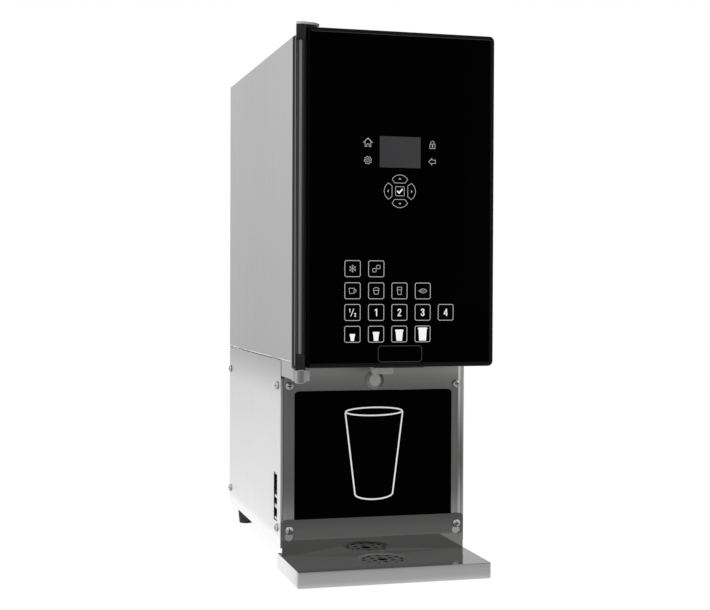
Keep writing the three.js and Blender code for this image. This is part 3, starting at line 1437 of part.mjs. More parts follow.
/** Hermetic compressor: a domed can with its seam band, foot plate and copper lines. */
function compressor() {
  const r = COMPRESSOR_RADIUS;
  const h = COMPRESSOR_HEIGHT;
  const plateHalf = r + SEAM_BAND;
  const x = chassisHalf - COMPRESSOR_SIDE_CLEARANCE - plateHalf;
  const y = chassisY[0] + COMPRESSOR_SETBACK;
  const half = SEAM_BAND_HEIGHT / 2;
  const lowerShares = [[0, 0], [0.7, 0], [0.93, 0.08], [1, 0.2]];
  const upperShares = [[1, 0.8], [0.9, 0.93], [0.55, 1], [0, 1]];
  const scaled = ([radiusShare, heightShare]) => [r * radiusShare, h * heightShare];
  const can = turned(
    [
      ...lowerShares.map(scaled),
      [r, h / 2 - half],
      [r + SEAM_BAND, h / 2 - half],
      [r + SEAM_BAND, h / 2 + half],
      [r, h / 2 + half],
      ...upperShares.map(scaled),
    ],
    ROUND_SIDES,
  ).translate([x, y, machineZ]);
  const plate = grow(
    rounded(around(x, 2 * plateHalf), around(y, 2 * plateHalf), COMPRESSOR_CORNER),
    from(machineZ, COMPRESSOR_BASE),
  );
  const topZ = machineZ + h;
  const line = new THREE.CatmullRomCurve3([
    new THREE.Vector3(x, y, topZ - LINE_RISE / 2),
    new THREE.Vector3(x, y, topZ + LINE_RISE / 2),
    new THREE.Vector3(x, y + r / 2, topZ + LINE_RISE),
    new THREE.Vector3(x, fanY[0], topZ + LINE_RISE),
    new THREE.Vector3(x, middle(condenserY), topZ + LINE_RISE),
  ]);
  return join(can, plate, tube(line, LINE_RADIUS, BEND_STEPS * BEND_STEPS, TUBE_SIDES));
}

/** Finned condenser: a comb of fins on a spine. */
function condenser() {
  const half = CONDENSER_WIDTH / 2;
  const pitch = CONDENSER_WIDTH / (CONDENSER_FINS - 1 / 2);
  const comb = new THREE.Shape();
  comb.moveTo(-half, condenserY[0]);
  for (let fin = 0; fin < CONDENSER_FINS; fin += 1) {
    const x = -half + fin * pitch;
    comb.lineTo(x, condenserY[1]);
    comb.lineTo(x + pitch / 2, condenserY[1]);
    if (fin + 1 < CONDENSER_FINS) {
      comb.lineTo(x + pitch / 2, condenserY[0] + CONDENSER_SPINE);
      comb.lineTo(x + pitch, condenserY[0] + CONDENSER_SPINE);
    }
  }
  comb.lineTo(half, condenserY[0]);
  return grow(comb, from(machineZ, CONDENSER_HEIGHT));
}

/** Square fan frame with its bore, spokes and motor cup. */
function fanHousing() {
  const half = FAN_FRAME / 2;
  const frame = grow(
    rounded(about(half), around(fanZ, FAN_FRAME), FAN_HUB_CORNER),
    fanY,
    FRONTAL,
  );
  const bore = bar(FRONTAL, [0, fanZ], grown(fanY, OVERRUN), fanBore, WIDE_SIDES);
  const backY = [fanY[1] - FAN_SPOKE_DEPTH, fanY[1]];
  const cup = bar(FRONTAL, [0, fanZ], backY, FAN_HUB, ROUND_SIDES);
  const spokeReach = [FAN_HUB / 2, fanBore + FAN_RIM / 2];
  const spokes = [];
  for (let i = 0; i < FAN_SPOKES; i += 1) {
    const spoke = block(about(FAN_SPOKE_WIDTH / 2), backY, spokeReach);
    spokes.push(spoke.rotate([0, (360 * (i + 1 / 2)) / FAN_SPOKES, 0]).translate([0, 0, fanZ]));
  }
  return join(cut(frame, bore), cup, ...spokes);
}

/** Fan wheel: a hub with pitched, twisted blades, drawn about its own axis. */
function fanWheel() {
  const reach = (FAN_DEPTH - FAN_SPOKE_DEPTH) / 2 - FIT_GAP;
  const hub = bar(FRONTAL, [0, 0], about(reach), FAN_HUB, ROUND_SIDES, FAN_HUB_CORNER);
  const stationShares = [0, 0.5, 1];
  const chordShares = [0.8, 0.95, 1];
  const pitchShares = [1, 0.72, 0.5];
  const root = FAN_HUB - FAN_HUB_CORNER;
  const tip = fanBore - FAN_TIP_CLEARANCE;
  const blades = [];
  for (let i = 0; i < FAN_BLADES; i += 1) {
    const sections = stationShares.map((share, k) => {
      const radius = root + share * (tip - root);
      const chord = chordShares[k] * (2 * Math.PI * FAN_HUB) / FAN_BLADES;
      const pitch = (pitchShares[k] * Math.PI) / 4;
      const thick = FAN_BLADE_THICKNESS / 2;
      const outline = [[-chord / 2, 0], [0, -thick], [chord / 2, 0], [0, thick]];
      return outline.map(([along, up]) => {
        const across = along * Math.cos(pitch) - up * Math.sin(pitch);
        const depth = along * Math.sin(pitch) + up * Math.cos(pitch);
        return new THREE.Vector3(across, depth, radius);
      });
    });
    blades.push(loft(sections).rotate([0, (360 * i) / FAN_BLADES, 0]));
  }
  return join(hub, ...blades);
}

/** Power supply: a closed case with cooling fins on its top. */
function powerSupply() {
  const xSpan = from(-chassisHalf + POST_SHEET + FIT_GAP, SUPPLY_WIDTH);
  const ySpan = from(coverY[0] + SUPPLY_SETBACK, SUPPLY_DEPTH);
  const zSpan = from(machineZ, SUPPLY_HEIGHT);
  const pitch = SUPPLY_WIDTH / (2 * SUPPLY_FINS - 1);
  const profile = new THREE.Shape();
  profile.moveTo(xSpan[0], zSpan[0]);
  profile.lineTo(xSpan[1], zSpan[0]);
  for (let fin = SUPPLY_FINS - 1; fin >= 0; fin -= 1) {
    const x = xSpan[0] + 2 * fin * pitch;
    profile.lineTo(x + pitch, zSpan[1]);
    profile.lineTo(x, zSpan[1]);
    if (fin > 0) {
      profile.lineTo(x, zSpan[1] - SUPPLY_FIN_HEIGHT);
      profile.lineTo(x - pitch, zSpan[1] - SUPPLY_FIN_HEIGHT);
    }
  }
  return grow(profile, ySpan, FRONTAL);
}

// The whole machine, with its origin under the middle of its box

const reachX = [-halfWidth - FIT_GAP - SCREW_HEAD_HEIGHT, doorX[1]];
const reachY = [trayY[0], cabinetY[1]];
const machine = new THREE.Group();
machine.position.set(-middle(reachX), -middle(reachY), 0);

const cabinet = new THREE.Group();
machine.add(cabinet);
piece('cabinet_shell', cabinetShell(), 'brushedSteel', cabinet);
piece('cabinet_floor', cabinetFloor(), 'brushedSteel', cabinet);
piece('cabinet_back', cabinetBack(), 'galvanised', cabinet);
piece('insulation', insulation(), 'foam', cabinet);
piece('liner', liner(), 'liner', cabinet);
piece('evaporator', evaporator(), 'aluminium', cabinet);
piece('hinge_trim', hingeTrim(), 'blackPlastic', cabinet);
piece('top_hinge_plate', topHingePlate(), 'greyCast', cabinet);
piece('lower_hinge_bracket', lowerHingeBracket(), 'greyCast', cabinet);

const product = new THREE.Group();
machine.add(product);
piece('product_tank', productTank(), 'palePlastic', product);
piece('tank_lid', tankLid(), 'palePlastic', product);
piece('outlet_tube', outletTube(), 'silicone', product);
piece('valve_body', valveBody(), 'greyCast', product);
piece('pinch_plunger', pinchPlunger(), 'polishedSteel', product);
piece('solenoid', solenoid(), 'galvanised', product);

const door = new THREE.Group();
machine.add(door);
piece('door_frame', doorFrame(), 'blackFrame', door);
piece('door_glass', doorGlass(), 'blackGlass', door);
piece('door_pan', doorPan(), 'liner', door);
piece('door_gasket', doorGasket(), 'blackRubber', door);
piece('display', displayModule(), 'blackPlastic', door);
piece('touch_board', touchBoard(), 'board', door);
piece('hinge_bar', hingeBar(), 'blackFrame', door);
const boreDepth = PIN_LENGTH + FIT_GAP;
const lowerBore = [capSpans[0][0] - OVERRUN, capSpans[0][0] + boreDepth];
const upperBore = [capSpans[1][1] - boreDepth, capSpans[1][1] + OVERRUN];
piece('hinge_cap_bottom', hingeCap(capSpans[0], lowerBore), 'blackPlastic', door);
piece('hinge_cap_top', hingeCap(capSpans[1], upperBore), 'blackPlastic', door);

const base = new THREE.Group();
machine.add(base);
piece('chassis', chassis(), 'galvanised', base);
piece('left_cover', leftCover(), 'brushedSteel', base);
piece('right_cover', sideCover(1), 'brushedSteel', base);
piece('splash_panel', splashPanel(), 'polishedSteel', base);
piece('splash_insert', splashInsert(), 'blackPlastic', base);
piece('cup_lamp', cupLamp(), 'frosted', base);
piece('rear_grille', rearGrille(), 'galvanised', base);
piece('socket_panel', socketPanel(), 'galvanised', base);
piece('switch_body', switchBody(), 'blackPlastic', base);
piece('data_socket', dataSocket(), 'blackPlastic', base);
piece('power_inlet', powerInlet(), 'blackPlastic', base);
const rocker = piece('switch_rocker', switchRocker(), 'blackPlastic', base);
rocker.position.set(rockerPivotX, socketY, middle(switchZ));
rocker.rotation.y = ROCKER_TILT;

piece('compressor', compressor(), 'blackPlastic', base);
piece('condenser', condenser(), 'aluminium', base);
piece('fan_housing', fanHousing(), 'blackPlastic', base);
const wheel = piece('condenser_fan', fanWheel(), 'blackPlastic', base);
wheel.position.set(0, fanY[0] + (FAN_DEPTH - FAN_SPOKE_DEPTH) / 2, fanZ);
piece('power_supply', powerSupply(), 'galvanised', base);

const footBody = foot();
const footY = [coverY[0] + FRONT_FOOT_SETBACK, coverY[1] - REAR_FOOT_INSET];
for (const [row, y] of footY.entries()) {
  for (const side of [-1, 1]) {
    const end = row === 0 ? 'front' : 'rear';
    const hand = side < 0 ? 'left' : 'right';
    const mesh = piece(`foot_${end}_${hand}`, footBody, 'blackRubber', base);
    mesh.position.set(side * (halfWidth - FOOT_INSET), y, 0);
  }
}

const tray = new THREE.Group();
machine.add(tray);
piece('drip_tray', dripTray(), 'polishedSteel', tray);
piece('drip_pan', dripPan(), 'brushedSteel', tray);

for (const side of [-1, 1]) {
  const hand = side < 0 ? 'left' : 'right';
  const seatX = side * (halfWidth + FIT_GAP);
  for (const [row, y] of coverScrewY.entries()) {
    for (const [level, z] of coverScrewZ.entries()) {
      const end = row === 0 ? 'front' : 'rear';
      const height = level === 0 ? 'low' : 'high';
      screw(`${hand}_cover_screw_${end}_${height}`, [seatX, y, z], [side, 0, 0], base);
    }
  }
  screw(`splash_screw_${hand}`, [side * splashScrewX, splashY - FIT_GAP, splashScrewZ], [0, -1, 0], base);
  screw(`tray_screw_${hand}`, [side * keyholeX, upstandY[0] - FIT_GAP, keyholeZ], [0, -1, 0], base);
}

export default machine;
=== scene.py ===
"""Looks of a countertop coffee creamer dispenser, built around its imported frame."""

import logging
import math
from dataclasses import dataclass, field
from enum import Enum
from typing import Callable, Iterable, Optional, Sequence, Union

import bmesh
import bpy
from mathutils import Matrix, Vector


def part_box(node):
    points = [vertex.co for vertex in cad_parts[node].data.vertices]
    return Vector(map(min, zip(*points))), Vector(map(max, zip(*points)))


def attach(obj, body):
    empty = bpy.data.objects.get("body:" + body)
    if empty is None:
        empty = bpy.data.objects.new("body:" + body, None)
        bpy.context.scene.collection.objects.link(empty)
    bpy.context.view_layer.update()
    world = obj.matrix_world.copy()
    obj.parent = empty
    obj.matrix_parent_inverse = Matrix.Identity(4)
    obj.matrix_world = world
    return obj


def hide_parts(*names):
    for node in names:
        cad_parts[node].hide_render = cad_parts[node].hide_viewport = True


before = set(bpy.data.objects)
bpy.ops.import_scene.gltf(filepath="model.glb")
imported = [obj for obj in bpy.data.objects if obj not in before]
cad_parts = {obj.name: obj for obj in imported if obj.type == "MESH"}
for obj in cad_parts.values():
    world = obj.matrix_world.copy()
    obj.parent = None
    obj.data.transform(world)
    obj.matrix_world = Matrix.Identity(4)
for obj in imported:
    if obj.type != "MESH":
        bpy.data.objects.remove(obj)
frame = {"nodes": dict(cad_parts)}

LOG = logging.getLogger("dispenser")
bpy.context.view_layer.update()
MM = 0.001
Pair = tuple[float, float]
Point = tuple[float, float, float]
Tones = Sequence[Pair]
Edges = list[bmesh.types.BMEdge]
Face = bpy.types.MeshPolygon
STEEP = 0.5


class Facing(Enum):
    """Ways a flat outline can face, as its two drawing axes and its depth axis."""

    FRONT = (Vector((1, 0, 0)), Vector((0, 0, 1)), Vector((0, 1, 0)))
    SIDE = (Vector((0, 1, 0)), Vector((0, 0, 1)), Vector((1, 0, 0)))
    LEVEL = (Vector((1, 0, 0)), Vector((0, 1, 0)), Vector((0, 0, 1)))


class Body(Enum):
    """Bodies of the frame that pieces ride on."""

    CABINET = "cabinet"
    DOOR = "door"
    TRAY = "tray"
    LID = "lid"
    PLUNGER = "plunger"
    ROCKER = "rocker"
    FAN = "fan"


@dataclass(frozen=True)
class Datum:
    """Point that sizes in millimetres are measured from."""

    x: float
    y: float
    z: float = 0.0

    def place(self, u: float, v: float, w: float, facing: Facing) -> Vector:
        """Point of an outline, given in millimetres along its three axes, in metres."""
        first, second, depth = facing.value
        return Vector((self.x, self.y, self.z)) + (first * u + second * v + depth * w) * MM

    def point(self, x: float, y: float, z: float) -> Vector:
        """Point in metres from its three places in millimetres."""
        return self.place(x, y, z, Facing.LEVEL)


def datum() -> Datum:
    """Datum under the cabinet's centre line, level with the front of the door."""
    shell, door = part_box("cabinet_shell"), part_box("door_frame")
    return Datum((shell[0].x + shell[1].x) / 2, door[0].y)


ORIGIN = datum()


@dataclass(frozen=True)
class Extent:
    """Box of a CAD node in millimetres from the datum."""

    x: Pair
    y: Pair
    z: Pair

    @classmethod
    def of(cls, node: str) -> "Extent":
        """Box of a node.

        Args:
            node: Its name.

        Returns:
            The box.
        """
        low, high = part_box(node)
        starts = (ORIGIN.x, ORIGIN.y, ORIGIN.z)
        return cls(*(((a - start) / MM, (b - start) / MM) for a, b, start in zip(low, high, starts)))

    def middle(self) -> Point:
        """Centre of the box."""
        return tuple((low + high) / 2 for low, high in (self.x, self.y, self.z))


# Shader building


class Socket:
    """An output socket, or a plain number, that takes part in shader arithmetic."""

    def __init__(self, tree: "Tree", source: Union[bpy.types.NodeSocket, float]) -> None:
        """Wraps a socket of a tree."""
        self.tree = tree
        self.source = source

    def _math(self, operation: str, first: object, second: object) -> "Socket":
        """Math node on two sockets or numbers."""
        return self.tree.node("ShaderNodeMath", {"operation": operation}, {0: first, 1: second})

    def __add__(self, other: object) -> "Socket":
        """Sum."""
        return self._math("ADD", self, other)

    __radd__ = __add__

    def __sub__(self, other: object) -> "Socket":
        """Difference."""
        return self._math("SUBTRACT", self, other)

    def __rsub__(self, other: object) -> "Socket":
        """Difference from a number."""
        return self._math("SUBTRACT", other, self)

    def __mul__(self, other: object) -> "Socket":
        """Product."""
        return self._math("MULTIPLY", self, other)

    __rmul__ = __mul__

    def __truediv__(self, other: object) -> "Socket":
        """Quotient."""
        return self._math("DIVIDE", self, other)

    def clamped(self) -> "Socket":
        """The value held between 0 and 1."""
        return self.tree.node("ShaderNodeClamp", {}, {"Value": self})


class Tree:
    """Node tree of a material or a world, with one way to add a node."""

    def __init__(self, owner: Union[bpy.types.Material, bpy.types.World]) -> None:
        """Empties the owner's tree.

        Args:
            owner: The material or the world.
        """
        owner.use_nodes = True
        self.nodes = owner.node_tree.nodes
        self.links = owner.node_tree.links
        self.nodes.clear()

    def node(self, kind: str, settings: dict, inputs: dict, output: Union[int, str] = 0) -> Socket:
        """Adds a node.

        Args:
            kind: The node's type.
            settings: Attributes that are set first. "stops" fills a colour ramp.
            inputs: Values or links by socket name or number.
            output: The socket that is given back.

        Returns:
            The wrapped output socket.
        """
        made = self.nodes.new(kind)
        for name, value in settings.items():
            if name == "stops":
                self._fill_ramp(made, value)
            else:
                setattr(made, name, value)
        for name, value in inputs.items():
            if isinstance(value, Socket):
                self.links.new(value.source, made.inputs[name])
            else:
                made.inputs[name].default_value = value
        return Socket(self, made.outputs[output])

    @staticmethod
    def _fill_ramp(ramp: bpy.types.Node, stops: Tones) -> None:
        """Sets a ramp's grey stops.

        Args:
            ramp: The colour ramp node.
            stops: Positions with their grey levels.
        """
        elements = ramp.color_ramp.elements
        for index, (position, level) in enumerate(stops):
            if index < 2:
                element = elements[index]
                element.position = position
            else:
                element = elements.new(position)
            element.color = (level, level, level, 1)

    def place(self, scale: Point = (1, 1, 1)) -> Socket:
        """Object coordinates, stretched along the axes."""
        where = self.node("ShaderNodeTexCoord", {}, {}, "Object")
        return self.node("ShaderNodeMapping", {}, {"Vector": where, "Scale": scale})

    def noise(self, where: Socket, scale: float, detail: float = 3, roughness: float = 0.5) -> Socket:
        """Noise between 0 and 1, with the number and the strength of its finer levels."""
        inputs = {"Vector": where, "Scale": scale, "Detail": detail, "Roughness": roughness}
        return self.node("ShaderNodeTexNoise", {}, inputs, "Fac")

    def along(self, axis: str, tones: Tones) -> Socket:
        """Grey level that changes along an axis.

        Args:
            axis: X, Y or Z.
            tones: Places in millimetres with their linear levels, in order.

        Returns:
            The level.
        """
        start = {"X": ORIGIN.x, "Y": ORIGIN.y, "Z": ORIGIN.z}[axis]
        low, reach = tones[0][0], tones[-1][0] - tones[0][0]
        where = self.node("ShaderNodeSeparateXYZ", {}, {0: self.place()}, axis)
        share = (where - (start + low * MM)) / (reach * MM)
        stops = [((place - low) / reach, level) for place, level in tones]
        return self.node("ShaderNodeValToRGB", {"stops": stops}, {"Fac": share}, "Color")

    def level(self, value: Socket, warmth: float = 1.0) -> Socket:
        """Grey of a value, with its blue a little stronger or weaker."""
        return self.node("ShaderNodeCombineColor", {}, {0: value, 1: value, 2: value * warmth})

    def blend(self, share: Socket, first: Sequence[float], second: Sequence[float]) -> Socket:
        """Colour between two others, the second where the share is 1."""
        inputs = {0: share, 6: first, 7: second}
        return self.node("ShaderNodeMix", {"data_type": "RGBA"}, inputs, 2)

    def bump(self, height: Socket, strength: float, distance: float) -> Socket:
        """Normal from a height pattern that stands for a distance in metres."""
        inputs = {"Height": height, "Strength": strength, "Distance": distance}
        return self.node("ShaderNodeBump", {}, inputs, "Normal")

    def ray(self, kind: str) -> Socket:
        """1 for rays of a kind, such as Camera or Glossy."""
        return self.node("ShaderNodeLightPath", {}, {}, f"Is {kind} Ray")

    def surface(self, constants: dict, varying: dict) -> None:
        """Ends the tree with a principled shader."""
        self.end(self.node("ShaderNodeBsdfPrincipled", {}, {**constants, **varying}))

    def end(self, shader: Socket, kind: str = "ShaderNodeOutputMaterial") -> None:
        """Joins a shader to the tree's output."""
        self.links.new(shader.source, self.nodes.new(kind).inputs["Surface"])


def grey(level: float) -> tuple[float, float, float, float]:
    """Opaque grey of a linear level."""
    return (level, level, level, 1.0)


def flat(level: float) -> Tones:
    """The same level throughout."""
    return ((0, level), (1, level))


@dataclass(frozen=True)
class Finish:
    """A finish with its own material."""

    name: str

    def build(self, tree: Tree) -> None:
        """Fills the tree."""
        raise NotImplementedError

    def material(self) -> bpy.types.Material:
        """The finish's material, made once.

        Returns:
            The material.
        """
        title = f"{self.name}_finish"
        found = bpy.data.materials.get(title)
        if found is None:
            found = bpy.data.materials.new(title)
            self.build(Tree(found))
        return found


@dataclass(frozen=True)
class BrushedSheet(Finish):
    """Sheet metal with fine brush lines along axis 0, 1 or 2, and tones along its height or depth, which
    can carry painted light and shade.
    """

    tones: Tones = flat(0.5)
    roughness: float = 0.3
    line_axis: int = 1
    contrast: float = 0.01
    tone_axis: str = "Z"
    rearward: Tones = ()

    def build(self, tree: Tree) -> None:
        """Brush lines and faint clouds over a tone that may change along an axis as painted light and
        shade.

        Args:
            tree: The material's tree.
        """
        across, along = 900.0, 6.0
        stretch = tuple(along if axis == self.line_axis else across for axis in range(3))
        lines = tree.noise(tree.place(stretch), 1.0, 2)
        clouds = tree.noise(tree.place(), 7.0, 2)
        tone = (lines - 0.5) * (2 * self.contrast) + (clouds - 0.5) * self.contrast
        value = tone + tree.along(self.tone_axis, self.tones)
        # Painted shade: the rearward tones darken the sheet towards the back.
        if self.rearward:
            value = value * tree.along("Y", self.rearward)
        colour = tree.level(value, 1.004)
        rough = (lines - 0.5) * 0.14 + self.roughness
        normal = tree.bump(lines, 0.05, 0.0002)
        tree.surface({"Metallic": 1.0}, {"Base Color": colour, "Roughness": rough, "Normal": normal})


@dataclass(frozen=True)
class PolishedSteel(Finish):
    """Polished steel with faint smears; its tones along its height can carry painted reflections."""

    tones: Tones = flat(0.085)
    roughness: float = 0.06
    metallic: float = 1.0
    specular: float = 0.5

    def build(self, tree: Tree) -> None:
        """Smears in the gloss over a tone along the height that can carry painted reflections.

        Args:
            tree: The material's tree.
        """
        smears = tree.noise(tree.place((1, 3, 3)), 18.0, 4, 0.6)
        value = (smears - 0.5) * 0.006 + tree.along("Z", self.tones)
        colour = tree.level(value, 0.985)
        rough = smears * 0.05 + self.roughness
        constants = {"Metallic": self.metallic, "Specular IOR Level": self.specular}
        tree.surface(constants, {"Base Color": colour, "Roughness": rough})


@dataclass(frozen=True)
class Paint(Finish):
    """Plastic, paint, rubber or foam with a fine grain."""

    colour: Point = (0.5, 0.5, 0.5)
    roughness: float = 0.5
    grain: float = 600.0
    grain_depth: float = 0.00003
    mottle: float = 0.06
    specular: float = 0.5
    metallic: float = 0.0

    def build(self, tree: Tree) -> None:
        """Grain in the bump and the gloss, mottle in the colour.

        Args:
            tree: The material's tree.
        """
        where = tree.place()
        fine = tree.noise(where, self.grain, 2)
        broad = tree.noise(where, 25.0, 3)
        darker = tuple(c * (1 - self.mottle) for c in self.colour) + (1,)
        lighter = tuple(min(1.0, c * (1 + self.mottle)) for c in self.colour) + (1,)
        colour = tree.blend(broad, darker, lighter)
        rough = (fine - 0.5) * 0.08 + (broad - 0.5) * 0.06 + self.roughness
        normal = tree.bump(fine, 0.25, self.grain_depth)
        constants = {"Specular IOR Level": self.specular, "Metallic": self.metallic}
        tree.surface(constants, {"Base Color": colour, "Roughness": rough, "Normal": normal})


@dataclass(frozen=True)
class ShadedPaint(Finish):
    """Satin paint whose tone changes across the piece as painted light and shade."""

    tones: Tones
    axis: str = "X"
    roughness: float = 0.45
    specular: float = 0.1

    def build(self, tree: Tree) -> None:
        """Fine speckle over the tone of painted light and shade.

        Args:
            tree: The material's tree.
        """
        speckle = tree.noise(tree.place(), 700.0, 2)
        value = (speckle - 0.5) * 0.004 + tree.along(self.axis, self.tones)
        colour = tree.level(value)
        rough = (speckle - 0.5) * 0.08 + self.roughness
        constants = {"Specular IOR Level": self.specular}
        tree.surface(constants, {"Base Color": colour, "Roughness": rough})


@dataclass(frozen=True)
class BlackGlass(Finish):
    """Sheet of glass painted black behind, with the faintest smears."""

    level: float = 0.0003
    roughness: float = 0.05
    specular: float = 0.003

    def build(self, tree: Tree) -> None:
        """Smears in the gloss only.

        Args:
            tree: The material's tree.
        """
        smears = tree.noise(tree.place((1, 1, 2)), 22.0, 4, 0.6)
        rough = smears * 0.05 + self.roughness
        colour = tree.blend(smears, grey(self.level), grey(self.level * 1.5))
        constants = {"Specular IOR Level": self.specular}
        tree.surface(constants, {"Base Color": colour, "Roughness": rough})


@dataclass(frozen=True)
class Ink(Finish):
    """Printed line with a slightly uneven edge of tone."""

    level: float = 0.8
    glow: float = 0.0

    def build(self, tree: Tree) -> None:
        """Uneven print.

        Args:
            tree: The material's tree.
        """
        speckle = tree.noise(tree.place(), 900.0, 2)
        colour = tree.blend(speckle, grey(self.level * 0.94), grey(self.level))
        constants = {
            "Roughness": 0.55,
            "Specular IOR Level": 0.2,
            "Emission Color": grey(self.level),
            "Emission Strength": self.glow,
        }
        tree.surface(constants, {"Base Color": colour})


class Finishes:
    """Every finish of the machine. Many of their tones carry painted light and shade: gradients, highlights
    and darkened faces.
    """

    # Painted light and shade: the sides grow lighter towards the top and darker towards the back.
    side = BrushedSheet(
        "brushed_steel_side",
        tones=((240, 0.295), (250, 0.308), (275, 0.32), (430, 0.357), (620, 0.384)),
        line_axis=2, contrast=0.012, tone_axis="Z",
        rearward=((12, 1.0), (80, 0.96), (190, 0.9), (340, 0.885), (418, 0.88)),
    )
    # Painted shade: the top takes a darker tone than the sides, darker still towards the back.
    top = BrushedSheet(
        "brushed_steel_top", tones=((12, 0.24), (418, 0.2)), roughness=0.42, line_axis=1,
        contrast=0.012, tone_axis="Y",
    )
    # Painted highlight: the bright strip along the cabinet's lower hem.
    hem = BrushedSheet("brushed_steel_hem_highlight", tones=flat(0.7), roughness=0.25, line_axis=1)
    # Painted light and shade: the covers are lighter towards the floor and darker towards the top and the
    # back.
    base_side = BrushedSheet(
        "brushed_steel_base",
        tones=(
            (28, 1.0), (36, 0.98), (45, 0.81), (54, 0.785), (77, 0.745), (108, 0.715), (140, 0.69),
            (195, 0.635), (203, 0.61), (216, 0.515), (225, 0.435), (238, 0.34), (247, 0.305),
        ),
        line_axis=2, contrast=0.012, tone_axis="Z",
        rearward=((71, 1.0), (188, 0.985), (335, 0.945), (418, 0.93)),
    )
    # Painted shade: the darker tone of the covers' forward faces and front lips.
    base_edge = BrushedSheet("brushed_steel_base_edge", tones=flat(0.24), line_axis=2)
    # Painted reflection: the splash face is dark where it reflects dark surroundings, lighter towards its
    # top and bottom.
    splash = PolishedSteel(
        "steel_splash_painted_reflection",
        tones=(
            (60, 0.2), (68, 0.175), (80, 0.131), (92, 0.105), (104, 0.095), (208, 0.094),
            (216, 0.112), (224, 0.142), (232, 0.19), (240, 0.21),
        ),
        roughness=0.4,
    )
    # Painted reflection: the right fold is lighter, changing along its height.
    splash_bend = PolishedSteel(
        "steel_splash_bend",
        tones=(
            (60, 0.33), (80, 0.27), (92, 0.225), (104, 0.16), (116, 0.118), (128, 0.108),
            (140, 0.126), (164, 0.193), (188, 0.282), (208, 0.362), (232, 0.443),
        ),
        roughness=0.15,
    )
    # Painted highlight along the splash panel's left edge.
    splash_edge = ShadedPaint(
        "steel_splash_edge",
        tones=((-112, 1.0), (-110.9, 0.9), (-110.3, 0.8), (-109.9, 0.25), (-109, 0.12)),
        roughness=0.5,
    )
    # Painted light: the strip between the right cover and the splash fold carries the fold's reflection,
    # changing along its height.
    lit_fold_strip = ShadedPaint(
        "painted_fold_light",
        tones=(
            (30, 0.3), (60, 0.29), (75, 0.235), (100, 0.15), (123, 0.105), (147, 0.145), (171, 0.22),
            (195, 0.31), (219, 0.38), (245, 0.45),
        ),
        axis="Z", roughness=0.5, specular=0.05,
    )
    # Painted reflection along the splash panel's right edge, changing along its height.
    splash_hem = ShadedPaint(
        "steel_splash_hem",
        tones=(
            (60, 0.25), (80, 0.206), (104, 0.136), (116, 0.109), (128, 0.102), (140, 0.119),
            (164, 0.182), (188, 0.266), (208, 0.342), (232, 0.418),
        ),
        axis="Z", roughness=0.4,
    )
    # Painted light and shade: the tray's front edge is lighter low down and darker at the top.
    tray_front = BrushedSheet(
        "brushed_steel_edge",
        tones=(
            (1, 0.47), (3, 0.41), (6, 0.335), (9, 0.322), (12, 0.312), (15, 0.3), (17.4, 0.275),
            (18.7, 0.16),
        ),
        line_axis=0,
    )
    # Painted light and shade: the tray's ends are darker at the front and lighter towards the back.
    tray_end = BrushedSheet(
        "brushed_steel_end",
        tones=((-23.7, 0.38), (-19, 0.42), (-11, 0.69), (0, 0.73), (20, 0.79), (45, 0.84), (88, 0.86)),
        line_axis=1, tone_axis="Y",
    )
    # Painted shade: the pan under the tray is made nearly black.
    pan = BrushedSheet("brushed_steel_pan", tones=flat(0.03), roughness=0.5, line_axis=0, contrast=0.004)
    plate = BrushedSheet("brushed_steel_plate", tones=flat(0.42), line_axis=0, contrast=0.02)
    # Painted light and shade: the plate's edge is lighter to the left and darker to the right.
    plate_edge = ShadedPaint(
        "brushed_steel_plate_edge",
        tones=((-110, 0.5), (-104, 0.4), (-97, 0.3), (-90, 0.24), (-82.5, 0.14)),
    )
    # Painted light: the right part of the trim's front face is lighter, standing for the lit gap beside the
    # bar.
    trim_edge = ShadedPaint(
        "trim_edge", tones=((-112.5, 0.012), (-112, 0.012), (-111.6, 0.16), (-110.6, 0.2)),
    )
    bracket = BrushedSheet("brushed_steel_bracket", tones=flat(0.33), line_axis=1)
    # Painted shade: the bracket's arm darkens towards the knuckle.
    arm = ShadedPaint("brushed_steel_arm", tones=((-112.5, 0.42), (-99, 0.36), (-96, 0.3), (-93, 0.24)))
    # Painted highlight and shade round the knuckle: light at its left edge, dark in the middle, lighter at
    # the right.
    knuckle = ShadedPaint(
        "brushed_steel_knuckle",
        tones=(
            (-110, 0.5), (-109.4, 0.42), (-107.8, 0.2), (-105, 0.12), (-102, 0.14), (-99.5, 0.32),
            (-98.2, 0.36),
        ),
    )
    screw = BrushedSheet("screw_steel", tones=flat(0.3), roughness=0.38, line_axis=0, contrast=0.03)
    # Painted light: a lighter copy of the screw steel for the screws on the sides.
    bright_screw = BrushedSheet(
        "bright_screw_steel", tones=flat(0.45), roughness=0.4, line_axis=0, contrast=0.03,
    )
    keyhole = BrushedSheet(
        "brushed_steel_keyhole", tones=flat(0.3), roughness=0.35, line_axis=0, contrast=0.02,
    )
    # Near-black: painted shade in the screw recesses and the seam under the hem; it also colours the dark
    # joint in front of the left cover and the trim's stop.
    recess = Paint(
        "screw_recess", colour=(0.03, 0.03, 0.03), roughness=0.6, grain=900.0, grain_depth=0.00001,
        mottle=0.1, specular=0.1,
    )
    # Painted reflection: the tray's dark top stands for the reflection of dark surroundings.
    tray = PolishedSteel(
        "polished_steel_tray", tones=flat(0.066), roughness=0.05, metallic=0.0, specular=0.6,
    )
    # Painted reflection: the upstand is lighter low down and darker above, in bands.
    upstand = PolishedSteel(
        "polished_steel_upstand",
        tones=((19, 0.15), (35.5, 0.155), (38, 0.09), (46, 0.086), (60, 0.064)), roughness=0.02,
    )
    drain = Paint(
        "drain_shadow", colour=(0.002, 0.002, 0.002), roughness=0.7, grain=900.0, grain_depth=0.00001,
        mottle=0.1, specular=0.05,
    )
